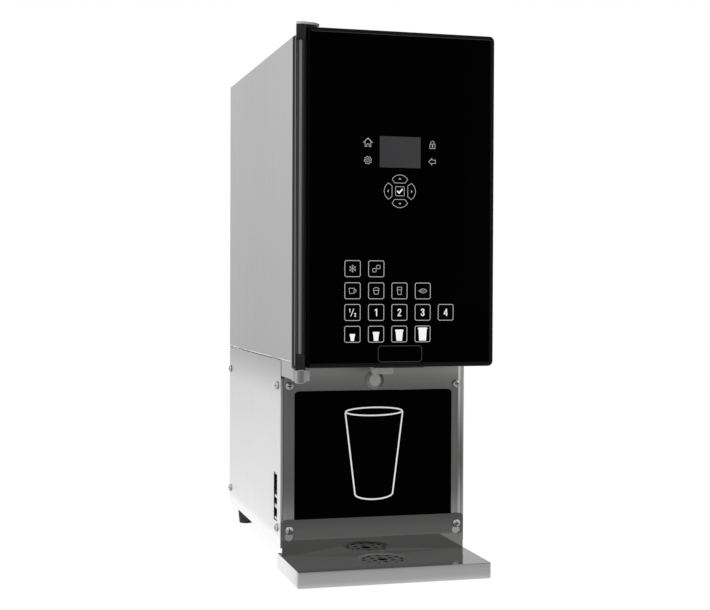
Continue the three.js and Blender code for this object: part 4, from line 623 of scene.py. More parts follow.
    # Painted highlight: the dish's far side is lighter than the tray top.
    dish_side = PolishedSteel(
        "polished_steel_dish", tones=flat(0.14), roughness=0.05, metallic=0.0, specular=0.6,
    )
    plunger = PolishedSteel("polished_steel_plunger", tones=flat(0.5), roughness=0.12)
    galvanised = Paint(
        "galvanised_sheet", colour=(0.42, 0.44, 0.45), roughness=0.45, grain=90.0, grain_depth=0.00002,
        mottle=0.12, specular=0.5, metallic=0.85,
    )
    black_frame = Paint(
        "black_frame_paint", colour=(0.006, 0.006, 0.0065), roughness=0.34, grain=900.0,
        grain_depth=0.00001, mottle=0.1, specular=0.03,
    )
    # Painted highlight: a lighter line on the window's upper lead.
    frame_lead_highlight = Paint(
        "black_frame_edge", colour=(0.042, 0.042, 0.043), roughness=0.3, grain=900.0,
        grain_depth=0.00001, mottle=0.1, specular=0.3,
    )
    frame_side = Paint(
        "black_frame_side", colour=(0.001, 0.001, 0.001), roughness=0.3, grain=900.0,
        grain_depth=0.00001, mottle=0.1, specular=0.02,
    )
    # Painted highlight and shade across the round bar: a light band left of centre, dark on either side.
    hinge_bar = ShadedPaint(
        "black_hinge_painted_highlight",
        tones=(
            (-109.3, 0.17), (-109.0, 0.15), (-108.8, 0.04), (-108.45, 0.018), (-107.6, 0.034),
            (-106.7, 0.148), (-105.73, 0.168), (-104.7, 0.107), (-103.7, 0.016), (-102.45, 0.01),
            (-101.2, 0.008), (-99.8, 0.014), (-99, 0.002),
        ),
        roughness=0.4, specular=0.08,
    )
    # Painted highlight: a light line along the cap's left edge, over black.
    hinge_cap = ShadedPaint(
        "hinge_cap_plastic",
        tones=(
            (-110, 0.17), (-109.85, 0.14), (-109.6, 0.012), (-104, 0.011), (-100.5, 0.014),
            (-98, 0.01),
        ),
        roughness=0.4, specular=0.08,
    )
    trim_black = Paint(
        "black_trim", colour=(0.012, 0.012, 0.012), roughness=0.5, grain=700.0, grain_depth=0.00001,
        mottle=0.1, specular=0.03,
    )
    # Painted light: the pale lip in the gap beside the hinge bar.
    trim_lip = ShadedPaint("lit_gap_trim_lip", tones=((247, 0.3), (605, 0.36)), axis="Z")
    # Painted light: the socket panel is painted pale so it shows in the shade of its slot.
    lightened_socket_panel = Paint(
        "socket_panel_painted_light", colour=(0.5, 0.5, 0.495), roughness=0.5, grain=500.0, grain_depth=0.00001,
        mottle=0.05, specular=0.2,
    )
    glass = BlackGlass("black_glass")
    insert = BlackGlass("black_insert", level=0.0003, roughness=0.12, specular=0.004)
    black_plastic = Paint(
        "black_plastic", colour=(0.014, 0.014, 0.014), roughness=0.45, grain=600.0, grain_depth=0.00003,
        mottle=0.06, specular=0.15,
    )
    rubber = Paint(
        "black_rubber", colour=(0.04, 0.04, 0.04), roughness=0.75, grain=400.0, grain_depth=0.00005,
        mottle=0.15, specular=0.3,
    )
    pale_cast = Paint(
        "pale_cast", colour=(0.4, 0.395, 0.39), roughness=0.45, grain=300.0, grain_depth=0.00004,
        mottle=0.06, specular=0.3,
    )
    frosted = Paint(
        "frosted_lens", colour=(0.41, 0.41, 0.405), roughness=0.4, grain=500.0, grain_depth=0.00003,
        mottle=0.05, specular=0.4,
    )
    # Painted light and shade: the lamp ring is lighter on its left and dark on its right.
    lamp_cone = ShadedPaint(
        "lamp_cone", tones=((-11.5, 0.26), (-6, 0.27), (3, 0.24), (6.5, 0.12), (11.5, 0.07)),
    )
    surround = Paint(
        "pale_surround", colour=(0.8, 0.8, 0.79), roughness=0.5, grain=500.0, grain_depth=0.00001,
        mottle=0.03, specular=0.3,
    )
    pale_plastic = Paint("pale_plastic", colour=(0.62, 0.62, 0.6), roughness=0.45)
    liner = Paint("liner_plastic", colour=(0.72, 0.72, 0.71), roughness=0.35)
    foam = Paint(
        "cream_foam", colour=(0.66, 0.6, 0.42), roughness=0.95, grain=220.0, grain_depth=0.0004,
        mottle=0.12, specular=0.2,
    )
    silicone = Paint(
        "silicone_tube", colour=(0.7, 0.71, 0.69), roughness=0.3, grain=300.0, grain_depth=0.00002,
        mottle=0.05,
    )
    board = Paint(
        "circuit_board", colour=(0.02, 0.12, 0.05), roughness=0.45, grain=500.0, grain_depth=0.00003,
        mottle=0.15,
    )
    aluminium = Paint(
        "aluminium", colour=(0.6, 0.61, 0.62), roughness=0.35, grain=300.0, grain_depth=0.00002,
        mottle=0.06, specular=0.5, metallic=0.9,
    )
    screen = Paint(
        "screen_glass", colour=(0.036, 0.036, 0.038), roughness=0.3, grain=900.0, grain_depth=0.000004,
        mottle=0.02, specular=0.1,
    )
    ink = Ink("white_ink", level=0.85, glow=0.12)
    key_ink = Ink("key_ink", level=0.5, glow=0.05)
    faint_ink = Ink("faint_ink", level=0.035)


# Mesh building


def arc_points(centre: Pair, radii: Pair, start: float, end: float, steps: int) -> list[Pair]:
    """Points along an elliptical arc.

    Args:
        centre: Its centre.
        radii: Its two radii.
        start: First angle, in degrees.
        end: Last angle, in degrees.
        steps: Segments.

    Returns:
        The points.
    """
    angles = [math.radians(start + (end - start) * step / steps) for step in range(steps + 1)]
    u, v = centre
    return [(u + radii[0] * math.cos(angle), v + radii[1] * math.sin(angle)) for angle in angles]


def rounded_points(
    u: Pair, v: Pair, radius: float, steps: int = 5, left: Optional[float] = None
) -> list[Pair]:
    """Points round a rounded rectangle.

    Args:
        u: First span, in millimetres.
        v: Second span, in millimetres.
        radius: Corner radius.
        steps: Segments of each corner.
        left: Radius of the corners at the first span's low end, where it differs.

    Returns:
        The points, anticlockwise.
    """
    least = 0.01
    right_held = max(radius, least)
    left_held = right_held if left is None else max(left, least)
    points = []
    for high_u, high_v, start in ((1, 0, -90), (1, 1, 0), (0, 1, 90), (0, 0, 180)):
        held = right_held if high_u else left_held
        centre = (u[1] - held if high_u else u[0] + held, v[1] - held if high_v else v[0] + held)
        points += arc_points(centre, (held, held), start, start + 90, steps)
    return points


def about(centre: float, size: float) -> Pair:
    """Span of a size about its centre."""
    return (centre - size / 2, centre + size / 2)


class Work:
    """A piece under construction, in metres."""

    def __init__(self, name: str) -> None:
        """Starts an empty mesh under the finished piece's name."""
        self.name = name
        self.mesh = bmesh.new()

    def outline(
        self, u: Pair, v: Pair, radius: float, depth: float, facing: Facing, steps: int = 8,
        left: Optional[float] = None,
    ) -> Edges:
        """Closed loop of a rounded rectangle, laid out as rounded_points says."""
        return self.loop(rounded_points(u, v, radius, steps, left), depth, facing)

    def tucked(self, beyond: float, least: float) -> "Work":
        """Moves the corners behind a depth in from the left.

        Args:
            beyond: Depth, in millimetres from the datum, behind which corners move.
            least: Leftmost place that they keep.

        Returns:
            The same piece, so that calls can be chained.
        """
        for vert in self.mesh.verts:
            if vert.co.y > ORIGIN.y + beyond * MM:
                vert.co.x = max(vert.co.x, ORIGIN.x + least * MM)
        return self

    def loop(self, points: Sequence[Pair], depth: float, facing: Facing) -> Edges:
        """Closed loop through points of a flat outline.

        Args:
            points: Places on the drawing axes, in millimetres.
            depth: Place along the depth axis.
            facing: Which way the outline faces.

        Returns:
            The loop's edges.
        """
        places = [ORIGIN.place(u, v, depth, facing) for u, v in points]
        verts = [self.mesh.verts.new(place) for place in places]
        return [self.mesh.edges.new((a, b)) for a, b in zip(verts, verts[1:] + verts[:1])]

    def skin(self, loops: Sequence[Edges], closed: bool = False) -> "Work":
        """Faces between loops that follow each other.

        Args:
            loops: Loops with as many points each.
            closed: Whether the last joins the first; otherwise both ends are capped.

        Returns:
            This piece.
        """
        pairs = list(zip(loops, loops[1:]))
        if closed:
            pairs.append((loops[-1], loops[0]))
        for first, second in pairs:
            for near, far in zip(first, second):
                bmesh.ops.contextual_create(self.mesh, geom=[near, far])
        if not closed:
            for end in (loops[0], loops[-1]):
                bmesh.ops.contextual_create(self.mesh, geom=end)
        return self

    def slab(
        self,
        u: Pair,
        v: Pair,
        depth: Pair,
        radius: float,
        facing: Facing,
        edge: float = 0.4,
        steps: int = 8,
    ) -> "Work":
        """Rounded plate with rounded rims.

        Args:
            u: First span, in millimetres.
            v: Second span, in millimetres.
            depth: Span along the depth axis.
            radius: Corner radius.
            facing: Which way the plate faces.
            edge: Radius of the rims.
            steps: Segments of each corner.

        Returns:
            This piece.
        """
        arcs = [math.radians(turn) for turn in (0, 30, 60, 90)]
        rims = [(edge * (1 - math.sin(turn)), edge * (1 - math.cos(turn))) for turn in arcs]
        loops = []
        for by, rise in rims:
            loops.append(self.inset(u, v, radius, by, depth[0] + rise, facing, steps))
        for by, rise in reversed(rims):
            loops.append(self.inset(u, v, radius, by, depth[1] - rise, facing, steps))
        return self.skin(loops)

    def inset(
        self, u: Pair, v: Pair, radius: float, by: float, depth: float, facing: Facing, steps: int = 8,
        left: Optional[float] = None,
    ) -> Edges:
        """Outline moved inwards.

        Args:
            u: First span, in millimetres.
            v: Second span, in millimetres.
            radius: Corner radius before the move.
            by: Distance moved.
            depth: Place along the depth axis.
            facing: Which way the outline faces.
            steps: Segments of each corner.
            left: Radius after the move at the first span's low end, where it differs.

        Returns:
            The loop's edges.
        """
        inner_u = (u[0] + by, u[1] - by)
        inner_v = (v[0] + by, v[1] - by)
        return self.outline(inner_u, inner_v, radius - by, depth, facing, steps, left)

    def turned(
        self, profile: Sequence[Pair], centre: Pair, facing: Facing, steps: int = 40
    ) -> "Work":
        """Solid of revolution about the depth axis.

        Args:
            profile: Radii with their depths, in millimetres.
            centre: Place of the axis on the drawing axes.
            facing: Which way the axis points.
            steps: Segments round.

        Returns:
            This piece.
        """
        places = [ORIGIN.place(centre[0] + r, centre[1], w, facing) for r, w in profile]
        verts = [self.mesh.verts.new(place) for place in places]
        edges = [self.mesh.edges.new((a, b)) for a, b in zip(verts, verts[1:])]
        bmesh.ops.spin(
            self.mesh,
            geom=verts + edges,
            cent=ORIGIN.place(centre[0], centre[1], 0, facing),
            axis=facing.value[2],
            angle=2 * math.pi,
            steps=steps,
            use_merge=True,
        )
        bmesh.ops.remove_doubles(self.mesh, verts=self.mesh.verts, dist=0.000001)
        return self

    def block(self, x: Pair, y: Pair, z: Pair, edge: float = 0.3, segments: int = 2) -> "Work":
        """Box with bevelled edges.

        Args:
            x: Span in millimetres.
            y: Span in millimetres.
            z: Span in millimetres.
            edge: Width of the bevel.
            segments: Segments of the bevel.

        Returns:
            This piece.
        """
        low, high = ORIGIN.point(x[0], y[0], z[0]), ORIGIN.point(x[1], y[1], z[1])
        size = high - low
        matrix = Matrix.Translation((low + high) / 2) @ Matrix.Diagonal((*size, 1))
        made = bmesh.ops.create_cube(self.mesh, size=1, matrix=matrix)
        edges = {e for v in made["verts"] for e in v.link_edges}
        bmesh.ops.bevel(
            self.mesh,
            geom=list(edges),
            offset=edge * MM,
            offset_type="OFFSET",
            affect="EDGES",
            segments=segments,
            profile=0.5,
            material=-1,
        )
        return self

    def outward(self) -> "Work":
        """Turns every face of the closed piece outwards."""
        bmesh.ops.recalc_face_normals(self.mesh, faces=self.mesh.faces)
        return self

    def cut(self, cutters: Iterable["Work"]) -> "Work":
        """Cuts other closed pieces out of this one.

        Args:
            cutters: The pieces that are cut away.

        Returns:
            This piece.
        """
        for cutter in cutters:
            body = _loose_object(self.name, self.mesh)
            tool = _loose_object(cutter.name, cutter.outward().mesh)
            modifier = body.modifiers.new("cut", "BOOLEAN")
            modifier.operation = "DIFFERENCE"
            modifier.solver = "EXACT"
            modifier.object = tool
            evaluated = body.evaluated_get(bpy.context.evaluated_depsgraph_get())
            self.mesh = bmesh.new()
            self.mesh.from_mesh(evaluated.to_mesh())
            for item in (body, tool):
                mesh = item.data
                bpy.data.objects.remove(item)
                bpy.data.meshes.remove(mesh)
        return self

    def done(
        self,
        body: Body,
        slot: str,
        finish: Finish,
        replaces: Sequence[str] = (),
        sharp: float = 35,
        paint: Optional[Callable[[Face], int]] = None,
        others: Sequence[Finish] = (),
    ) -> bpy.types.Object:
        """Finishes the piece and hangs it on its body.

        Args:
            body: Body that it rides on.
            slot: The record's material slot; not used.
            finish: Its finish.
            replaces: CAD nodes that it stands for.
            sharp: Angle above which an edge stays sharp, in degrees.
            paint: Picks a face's material, by number.
            others: Finishes after the first.

        Returns:
            The finished object.
        """
        made = _loose_object(self.name, self.outward().mesh)
        made.data.shade_smooth()
        made.data.set_sharp_from_angle(angle=math.radians(sharp))
        for item in (finish, *others):
            made.data.materials.append(item.material())
        if paint is not None:
            for face in made.data.polygons:
                face.material_index = paint(face)
        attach(made, body.value)
        if replaces:
            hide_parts(*replaces)
        LOG.info("%s: %d faces", self.name, len(made.data.polygons))
        return made


def _loose_object(name: str, mesh: bmesh.types.BMesh) -> bpy.types.Object:
    """Object from a bmesh, which is freed.

    Args:
        name: Name of the object.
        mesh: The bmesh.

    Returns:
        The linked object.
    """
    data = bpy.data.meshes.new(name)
    mesh.to_mesh(data)
    mesh.free()
    made = bpy.data.objects.new(name, data)
    bpy.context.scene.collection.objects.link(made)
    return made


def carried(node: str) -> Work:
    """Copy of a CAD node with its shared corners merged and its flat faces whole.

    Args:
        node: Name of the node.

    Returns:
        The piece under construction.
    """
    work = Work(f"{node}_dressed")
    work.mesh.from_mesh(frame["nodes"][node].data)
    bmesh.ops.remove_doubles(work.mesh, verts=work.mesh.verts, dist=0.000002)
    bmesh.ops.dissolve_limit(
        work.mesh,
        angle_limit=math.radians(0.5),
        verts=work.mesh.verts,
        edges=work.mesh.edges,
        delimit={"NORMAL"},
    )
    return work


def dress(body: Body, slot: str, finish: Finish, nodes: Sequence[str], sharp: float = 35) -> None:
    """Hangs copies of CAD nodes on a body, in one finish."""
    for node in nodes:
        carried(node).done(body, slot, finish, [node], sharp)


class Print:
    """Line art and filled shapes printed on a front-facing surface."""

    sunk = 0.02

    def __init__(self, name: str, front: float, width: float, height: float = 0.06) -> None:
        """Starts an empty print.

        Args:
            name: Name of the finished piece.
            front: Place of the surface, in millimetres.
            width: Width of its lines.
            height: How far it stands off the surface.
        """
        self.work = Work(name)
        self.front = front
        self.width = width
        self.height = height

    def _face(self, points: Sequence[Pair]) -> bmesh.types.BMFace:
        """Flat face through an outline just under the surface."""
        loop = self.work.loop(points, self.front + self.sunk, Facing.FRONT)
        return bmesh.ops.contextual_create(self.work.mesh, geom=loop)["faces"][0]

    def _raise(self, faces: Sequence[bmesh.types.BMFace]) -> None:
        """Grows faces off the surface.

        Args:
            faces: The flat faces.
        """
        mesh = self.work.mesh
        grown = bmesh.ops.extrude_face_region(mesh, geom=list(faces))["geom"]
        verts = [item for item in grown if isinstance(item, bmesh.types.BMVert)]
        bmesh.ops.translate(mesh, verts=verts, vec=(0, -(self.height + self.sunk) * MM, 0))

    def fill(self, points: Sequence[Pair]) -> None:
        """Adds a filled outline."""
        self._raise([self._face(points)])

    def line(self, points: Sequence[Pair], width: Optional[float] = None) -> None:
        """Adds an open line of even width.

        Args:
            points: Places that it runs through.
            width: Its own width.
        """
        left = offset_points(points, (width or self.width) / 2, False)
        right = offset_points(points, -(width or self.width) / 2, False)
        self.fill(left + right[::-1])

    def ring(self, points: Sequence[Pair], width: Optional[float] = None) -> None:
        """Adds a closed line of even width.

        Args:
            points: Places that it runs through, anticlockwise.
            width: Its own width.
        """
        wide = width or self.width
        face = self._face(offset_points(points, -wide / 2, True))
        band = bmesh.ops.inset_region(
            self.work.mesh,
            faces=[face],
            thickness=wide * MM,
            use_even_offset=True,
            use_boundary=True,
        )["faces"]
        bmesh.ops.delete(self.work.mesh, geom=[face], context="FACES_ONLY")
        self._raise(band)

    def frame(self, centre: Pair, size: Pair, radius: float, width: Optional[float] = None) -> None:
        """Adds a rounded rectangle's outline."""
        spans = about(centre[0], size[0]), about(centre[1], size[1])
        self.ring(rounded_points(*spans, radius), width)

    def tapered(self, centre: Pair, foot: Pair, brim: Pair) -> None:
        """Adds the outline of a vessel.

        Args:
            centre: Its middle.
            foot: Half the width of its foot, and the foot's height from the middle.
            brim: The same for its brim.
        """
        right = [(centre[0] + half, centre[1] + height) for half, height in (foot, brim)]
        left = [(centre[0] - half, centre[1] + height) for half, height in (brim, foot)]
        self.ring([left[1], *right, left[0]])

    def figure(self, text: str, centre: Pair, height: float, stroke: float) -> None:
        """Adds a plain condensed numeral.

        Args:
            text: One of 1 to 4.
            centre: Its centre.
            height: Its height.
            stroke: Width of its strokes.
        """
        tall = height - stroke
        for path in FIGURE_STROKE_SHARES[text]:
            self.line([(centre[0] + u * tall, centre[1] + v * tall) for u, v in path], stroke)

    def done(self, body: Body, slot: str, finish: Finish) -> bpy.types.Object:
        """Finishes the print."""
        return self.work.done(body, slot, finish)


def offset_points(points: Sequence[Pair], by: float, closed: bool) -> list[Pair]:
    """Points moved to the left of the way that they run.

    Args:
        points: Places along a line.
        by: Distance; below zero moves them to the right.
        closed: Whether the line returns to its start.

    Returns:
        The moved points.
    """
    count = len(points)
    moved = []
    for index, (u, v) in enumerate(points):
        before = points[index - 1] if index or closed else points[index]
        after = points[(index + 1) % count] if index + 1 < count or closed else points[index]
        first = Vector((u - before[0], v - before[1]))
        second = Vector((after[0] - u, after[1] - v))
        first = first if first.length > 0.00001 else second
        second = second if second.length > 0.00001 else first
        first.normalize()
        second.normalize()
        middle = (first + second).normalized()
        reach = by / max(0.35, middle.dot(second))
        moved.append((u - middle.y * reach, v + middle.x * reach))
    return moved


FIGURE_STROKE_SHARES = {
    "1": [[(-0.2, 0.3), (0.06, 0.5)], [(0.08, 0.58), (0.08, -0.58)]],
    "2": [
        [(-0.21, 0.22), *arc_points((0, 0.3), (0.21, 0.2), 180, 0, 10), (0.21, 0.22), (0.15, 0.04),
         (-0.19, -0.4), (-0.21, -0.52)],
        [(-0.3, -0.5), (0.3, -0.5)],
    ],
    "3": [
        [(-0.21, 0.26), *arc_points((0, 0.3), (0.21, 0.2), 180, -70, 12), (-0.06, 0.06)],
        [(-0.06, 0.03), *arc_points((0, -0.26), (0.22, 0.24), 75, -180, 14), (-0.22, -0.2)],
    ],
    "4": [[(0.13, 0.52), (-0.29, -0.24)], [(-0.34, -0.24), (0.33, -0.24)], [(0.14, 0.58), (0.14, -0.58)]],
}


# Sub-assemblies


def forward(face: Face) -> int:
    """1 where a face looks forwards, 0 elsewhere."""
    return int(face.normal.y < -STEEP)


@dataclass
class Door:
    """Door: ring, glass, screen, hinge bar and caps."""

    frame: Extent = field(default_factory=lambda: Extent.of("door_frame"))
    glass: Extent = field(default_factory=lambda: Extent.of("door_glass"))
    bar: Extent = field(default_factory=lambda: Extent.of("hinge_bar"))
    corner: float = 6.0
    hinge_corner: float = 1.2
    drop: float = 0.7
    window_corner: float = 1.5
    ledge: float = 3.0
    bevel: float = 1.0
    chamfer: float = 0.4
    gap: float = 0.3
    ledge_wall: float = 1.6
    foot_drop: float = 0.1
    lip_x: Pair = (-20.0, 39.0)
    lip_behind: Pair = (1.2, 4.0)
    lip_above: Pair = (-0.8, 0.5)
    web: float = 6.0
    cap_edge: float = 0.7
    cap_bore: Pair = (2.8, 11.3)
    screen_x: Pair = (-14.5, 33.7)
    screen_z: Pair = (466.8, 501.9)

    def build(self) -> None:
        """Builds every piece of the door."""
        self.ring()
        self.pane()
        self.hinge()
        self.screen()
        self.inner()

    def ring(self) -> None:
        """Black ring with rounded rims, and its drip lip."""
        box, glass, gap = self.frame, self.glass, self.gap
        low = box.z[0] - self.foot_drop
        work = Work("door_ring")
        outer = self._rim(work, box.x, (low, box.z[1]))
        window_u = (glass.x[0] - gap, glass.x[1] + gap)
        window_v = (glass.z[0] - self.drop - gap, glass.z[1] + gap)
        ledge_u = (window_u[0] + self.ledge, window_u[1] - self.ledge)
        ledge_v = (window_v[0] + self.ledge, window_v[1] - self.ledge)
        seat = glass.y[1] + gap
        back = seat + self.ledge_wall
        corner, front = self.window_corner, box.y[0]
        lead = work.inset(window_u, window_v, corner, -self.chamfer, front + 0.02, Facing.FRONT)
        steps = (
            (window_u, window_v, front + self.chamfer), (window_u, window_v, seat),
            (ledge_u, ledge_v, seat), (ledge_u, ledge_v, back),
            (window_u, window_v, back), (window_u, window_v, box.y[1]),
        )
        inner = [work.outline(u, v, corner, depth, Facing.FRONT) for u, v, depth in steps]
        work.skin([*outer, lead, *inner], closed=True)
        lip_y = tuple(front + behind for behind in self.lip_behind)
        lip_z = tuple(low + above for above in self.lip_above)
        work.block(self.lip_x, lip_y, lip_z, 0.15)
        shiny_x = ORIGIN.x + (window_u[0] + 2) * MM

        def lead_highlight_and_hinge_side(face: Face) -> int:
            """1 on the hinge side, 2 on the window's upper lead with its painted highlight, 0 elsewhere.

            Args:
                face: A face of the piece.

            Returns:
                The finish's number.
            """
            if face.center.x < shiny_x:
                return 1
            return 2 if face.normal.z < -0.3 and face.normal.y < -0.3 else 0

        others = [Finishes.frame_side, Finishes.frame_lead_highlight]
        work.done(Body.DOOR, "black_frame", Finishes.black_frame, ["door_frame"], 35, lead_highlight_and_hinge_side, others)

    def _rim(self, work: Work, u: Pair, v: Pair) -> list[Edges]:
        """Outer loops of the ring, from its back round to its front.

        Args:
            work: The ring.
            u: Its width.
            v: Its height.

        Returns:
            The loops.
        """
        front, back = self.frame.y
        section = [(0.9, back), (0.3, back - 0.1), (0.0, back - 0.6)]
        for turn in (0, 30, 60, 90):
            angle = math.radians(turn)
            inset = self.bevel * (1 - math.cos(angle))
            section.append((inset, front + self.bevel * (1 - math.sin(angle))))
        section.append((self.bevel + 0.5, front))
        made = []
        for by, depth in section:
            left = max(self.hinge_corner - by, 0.4)
            made.append(work.inset(u, v, self.corner, by, depth, Facing.FRONT, 8, left))
        return made

    def pane(self) -> None:
        """Black glass."""
        glass = self.glass
        height = (glass.z[0] - self.drop, glass.z[1])
        work = Work("door_pane").slab(glass.x, height, glass.y, 1.2, Facing.FRONT, 0.3)
        work.done(Body.DOOR, "black_glass", Finishes.glass, ["door_glass"])

    def hinge(self) -> None:
        """Round hinge bar, its web and its two caps."""
        bar = self.bar
        radius = (bar.y[1] - bar.y[0]) / 2
        centre = (bar.x[0] + radius, (bar.y[0] + bar.y[1]) / 2)
        work = Work("hinge_bar_round")
        low, high = bar.z
        work.turned([(0, low), (radius, low), (radius, high), (0, high)], centre, Facing.LEVEL, 48)
        work.block((centre[0], bar.x[1]), about(centre[1], self.web), (low, high), 0.2)
        # The bar's finish paints its highlight band and shade.
        work.done(Body.DOOR, "black_frame", Finishes.hinge_bar, ["hinge_bar"])
        for node, upwards in (("hinge_cap_bottom", False), ("hinge_cap_top", True)):
            self._cap(node, upwards, centre)

    def _cap(self, node: str, upwards: bool, centre: Pair) -> None:
        """End cap with its pin bore.

        Args:
            node: The CAD node.
            upwards: Whether the bore opens upwards.
            centre: Place of its axis.
        """
        cap = Extent.of(node)
        radius = (cap.y[1] - cap.y[0]) / 2
        side = -1 if upwards else 1
        mouth, shut = cap.z[::side]
        edge, (bore, deep) = self.cap_edge, self.cap_bore
        floor = mouth + side * deep
        profile = [(0, floor), (bore, floor), (bore, mouth), (radius - edge, mouth)]
        profile += [(radius - edge * 0.3, mouth + side * edge * 0.3), (radius, mouth + side * edge)]
        profile += [(radius, shut - side * edge), (radius - edge * 0.3, shut - side * edge * 0.3)]
        profile += [(radius - edge, shut), (0, shut)]
        work = Work(f"{node}_turned").turned(profile, centre, Facing.LEVEL, 48)
        work.done(Body.DOOR, "black_plastic", Finishes.hinge_cap, [node])

    def screen(self) -> None:
        """Lit picture area of the display, seen through the clear window of the glass."""
        front = self.glass.y[0]
        depth = (front - 0.08, front + 0.1)
        work = Work("screen_window").slab(self.screen_x, self.screen_z, depth, 0.4, Facing.FRONT, 0.03, 3)
        work.done(Body.DOOR, "black_plastic", Finishes.screen)

    def inner(self) -> None:
        """Insulated inner door, gasket, display and board."""
        for node, slot, finish in (
            ("door_pan", "liner_plastic", Finishes.liner),
            ("door_gasket", "black_rubber", Finishes.rubber),
            ("display", "black_plastic", Finishes.black_plastic),
            ("touch_board", "circuit_board", Finishes.board),
        ):
            dress(Body.DOOR, slot, finish, [node])


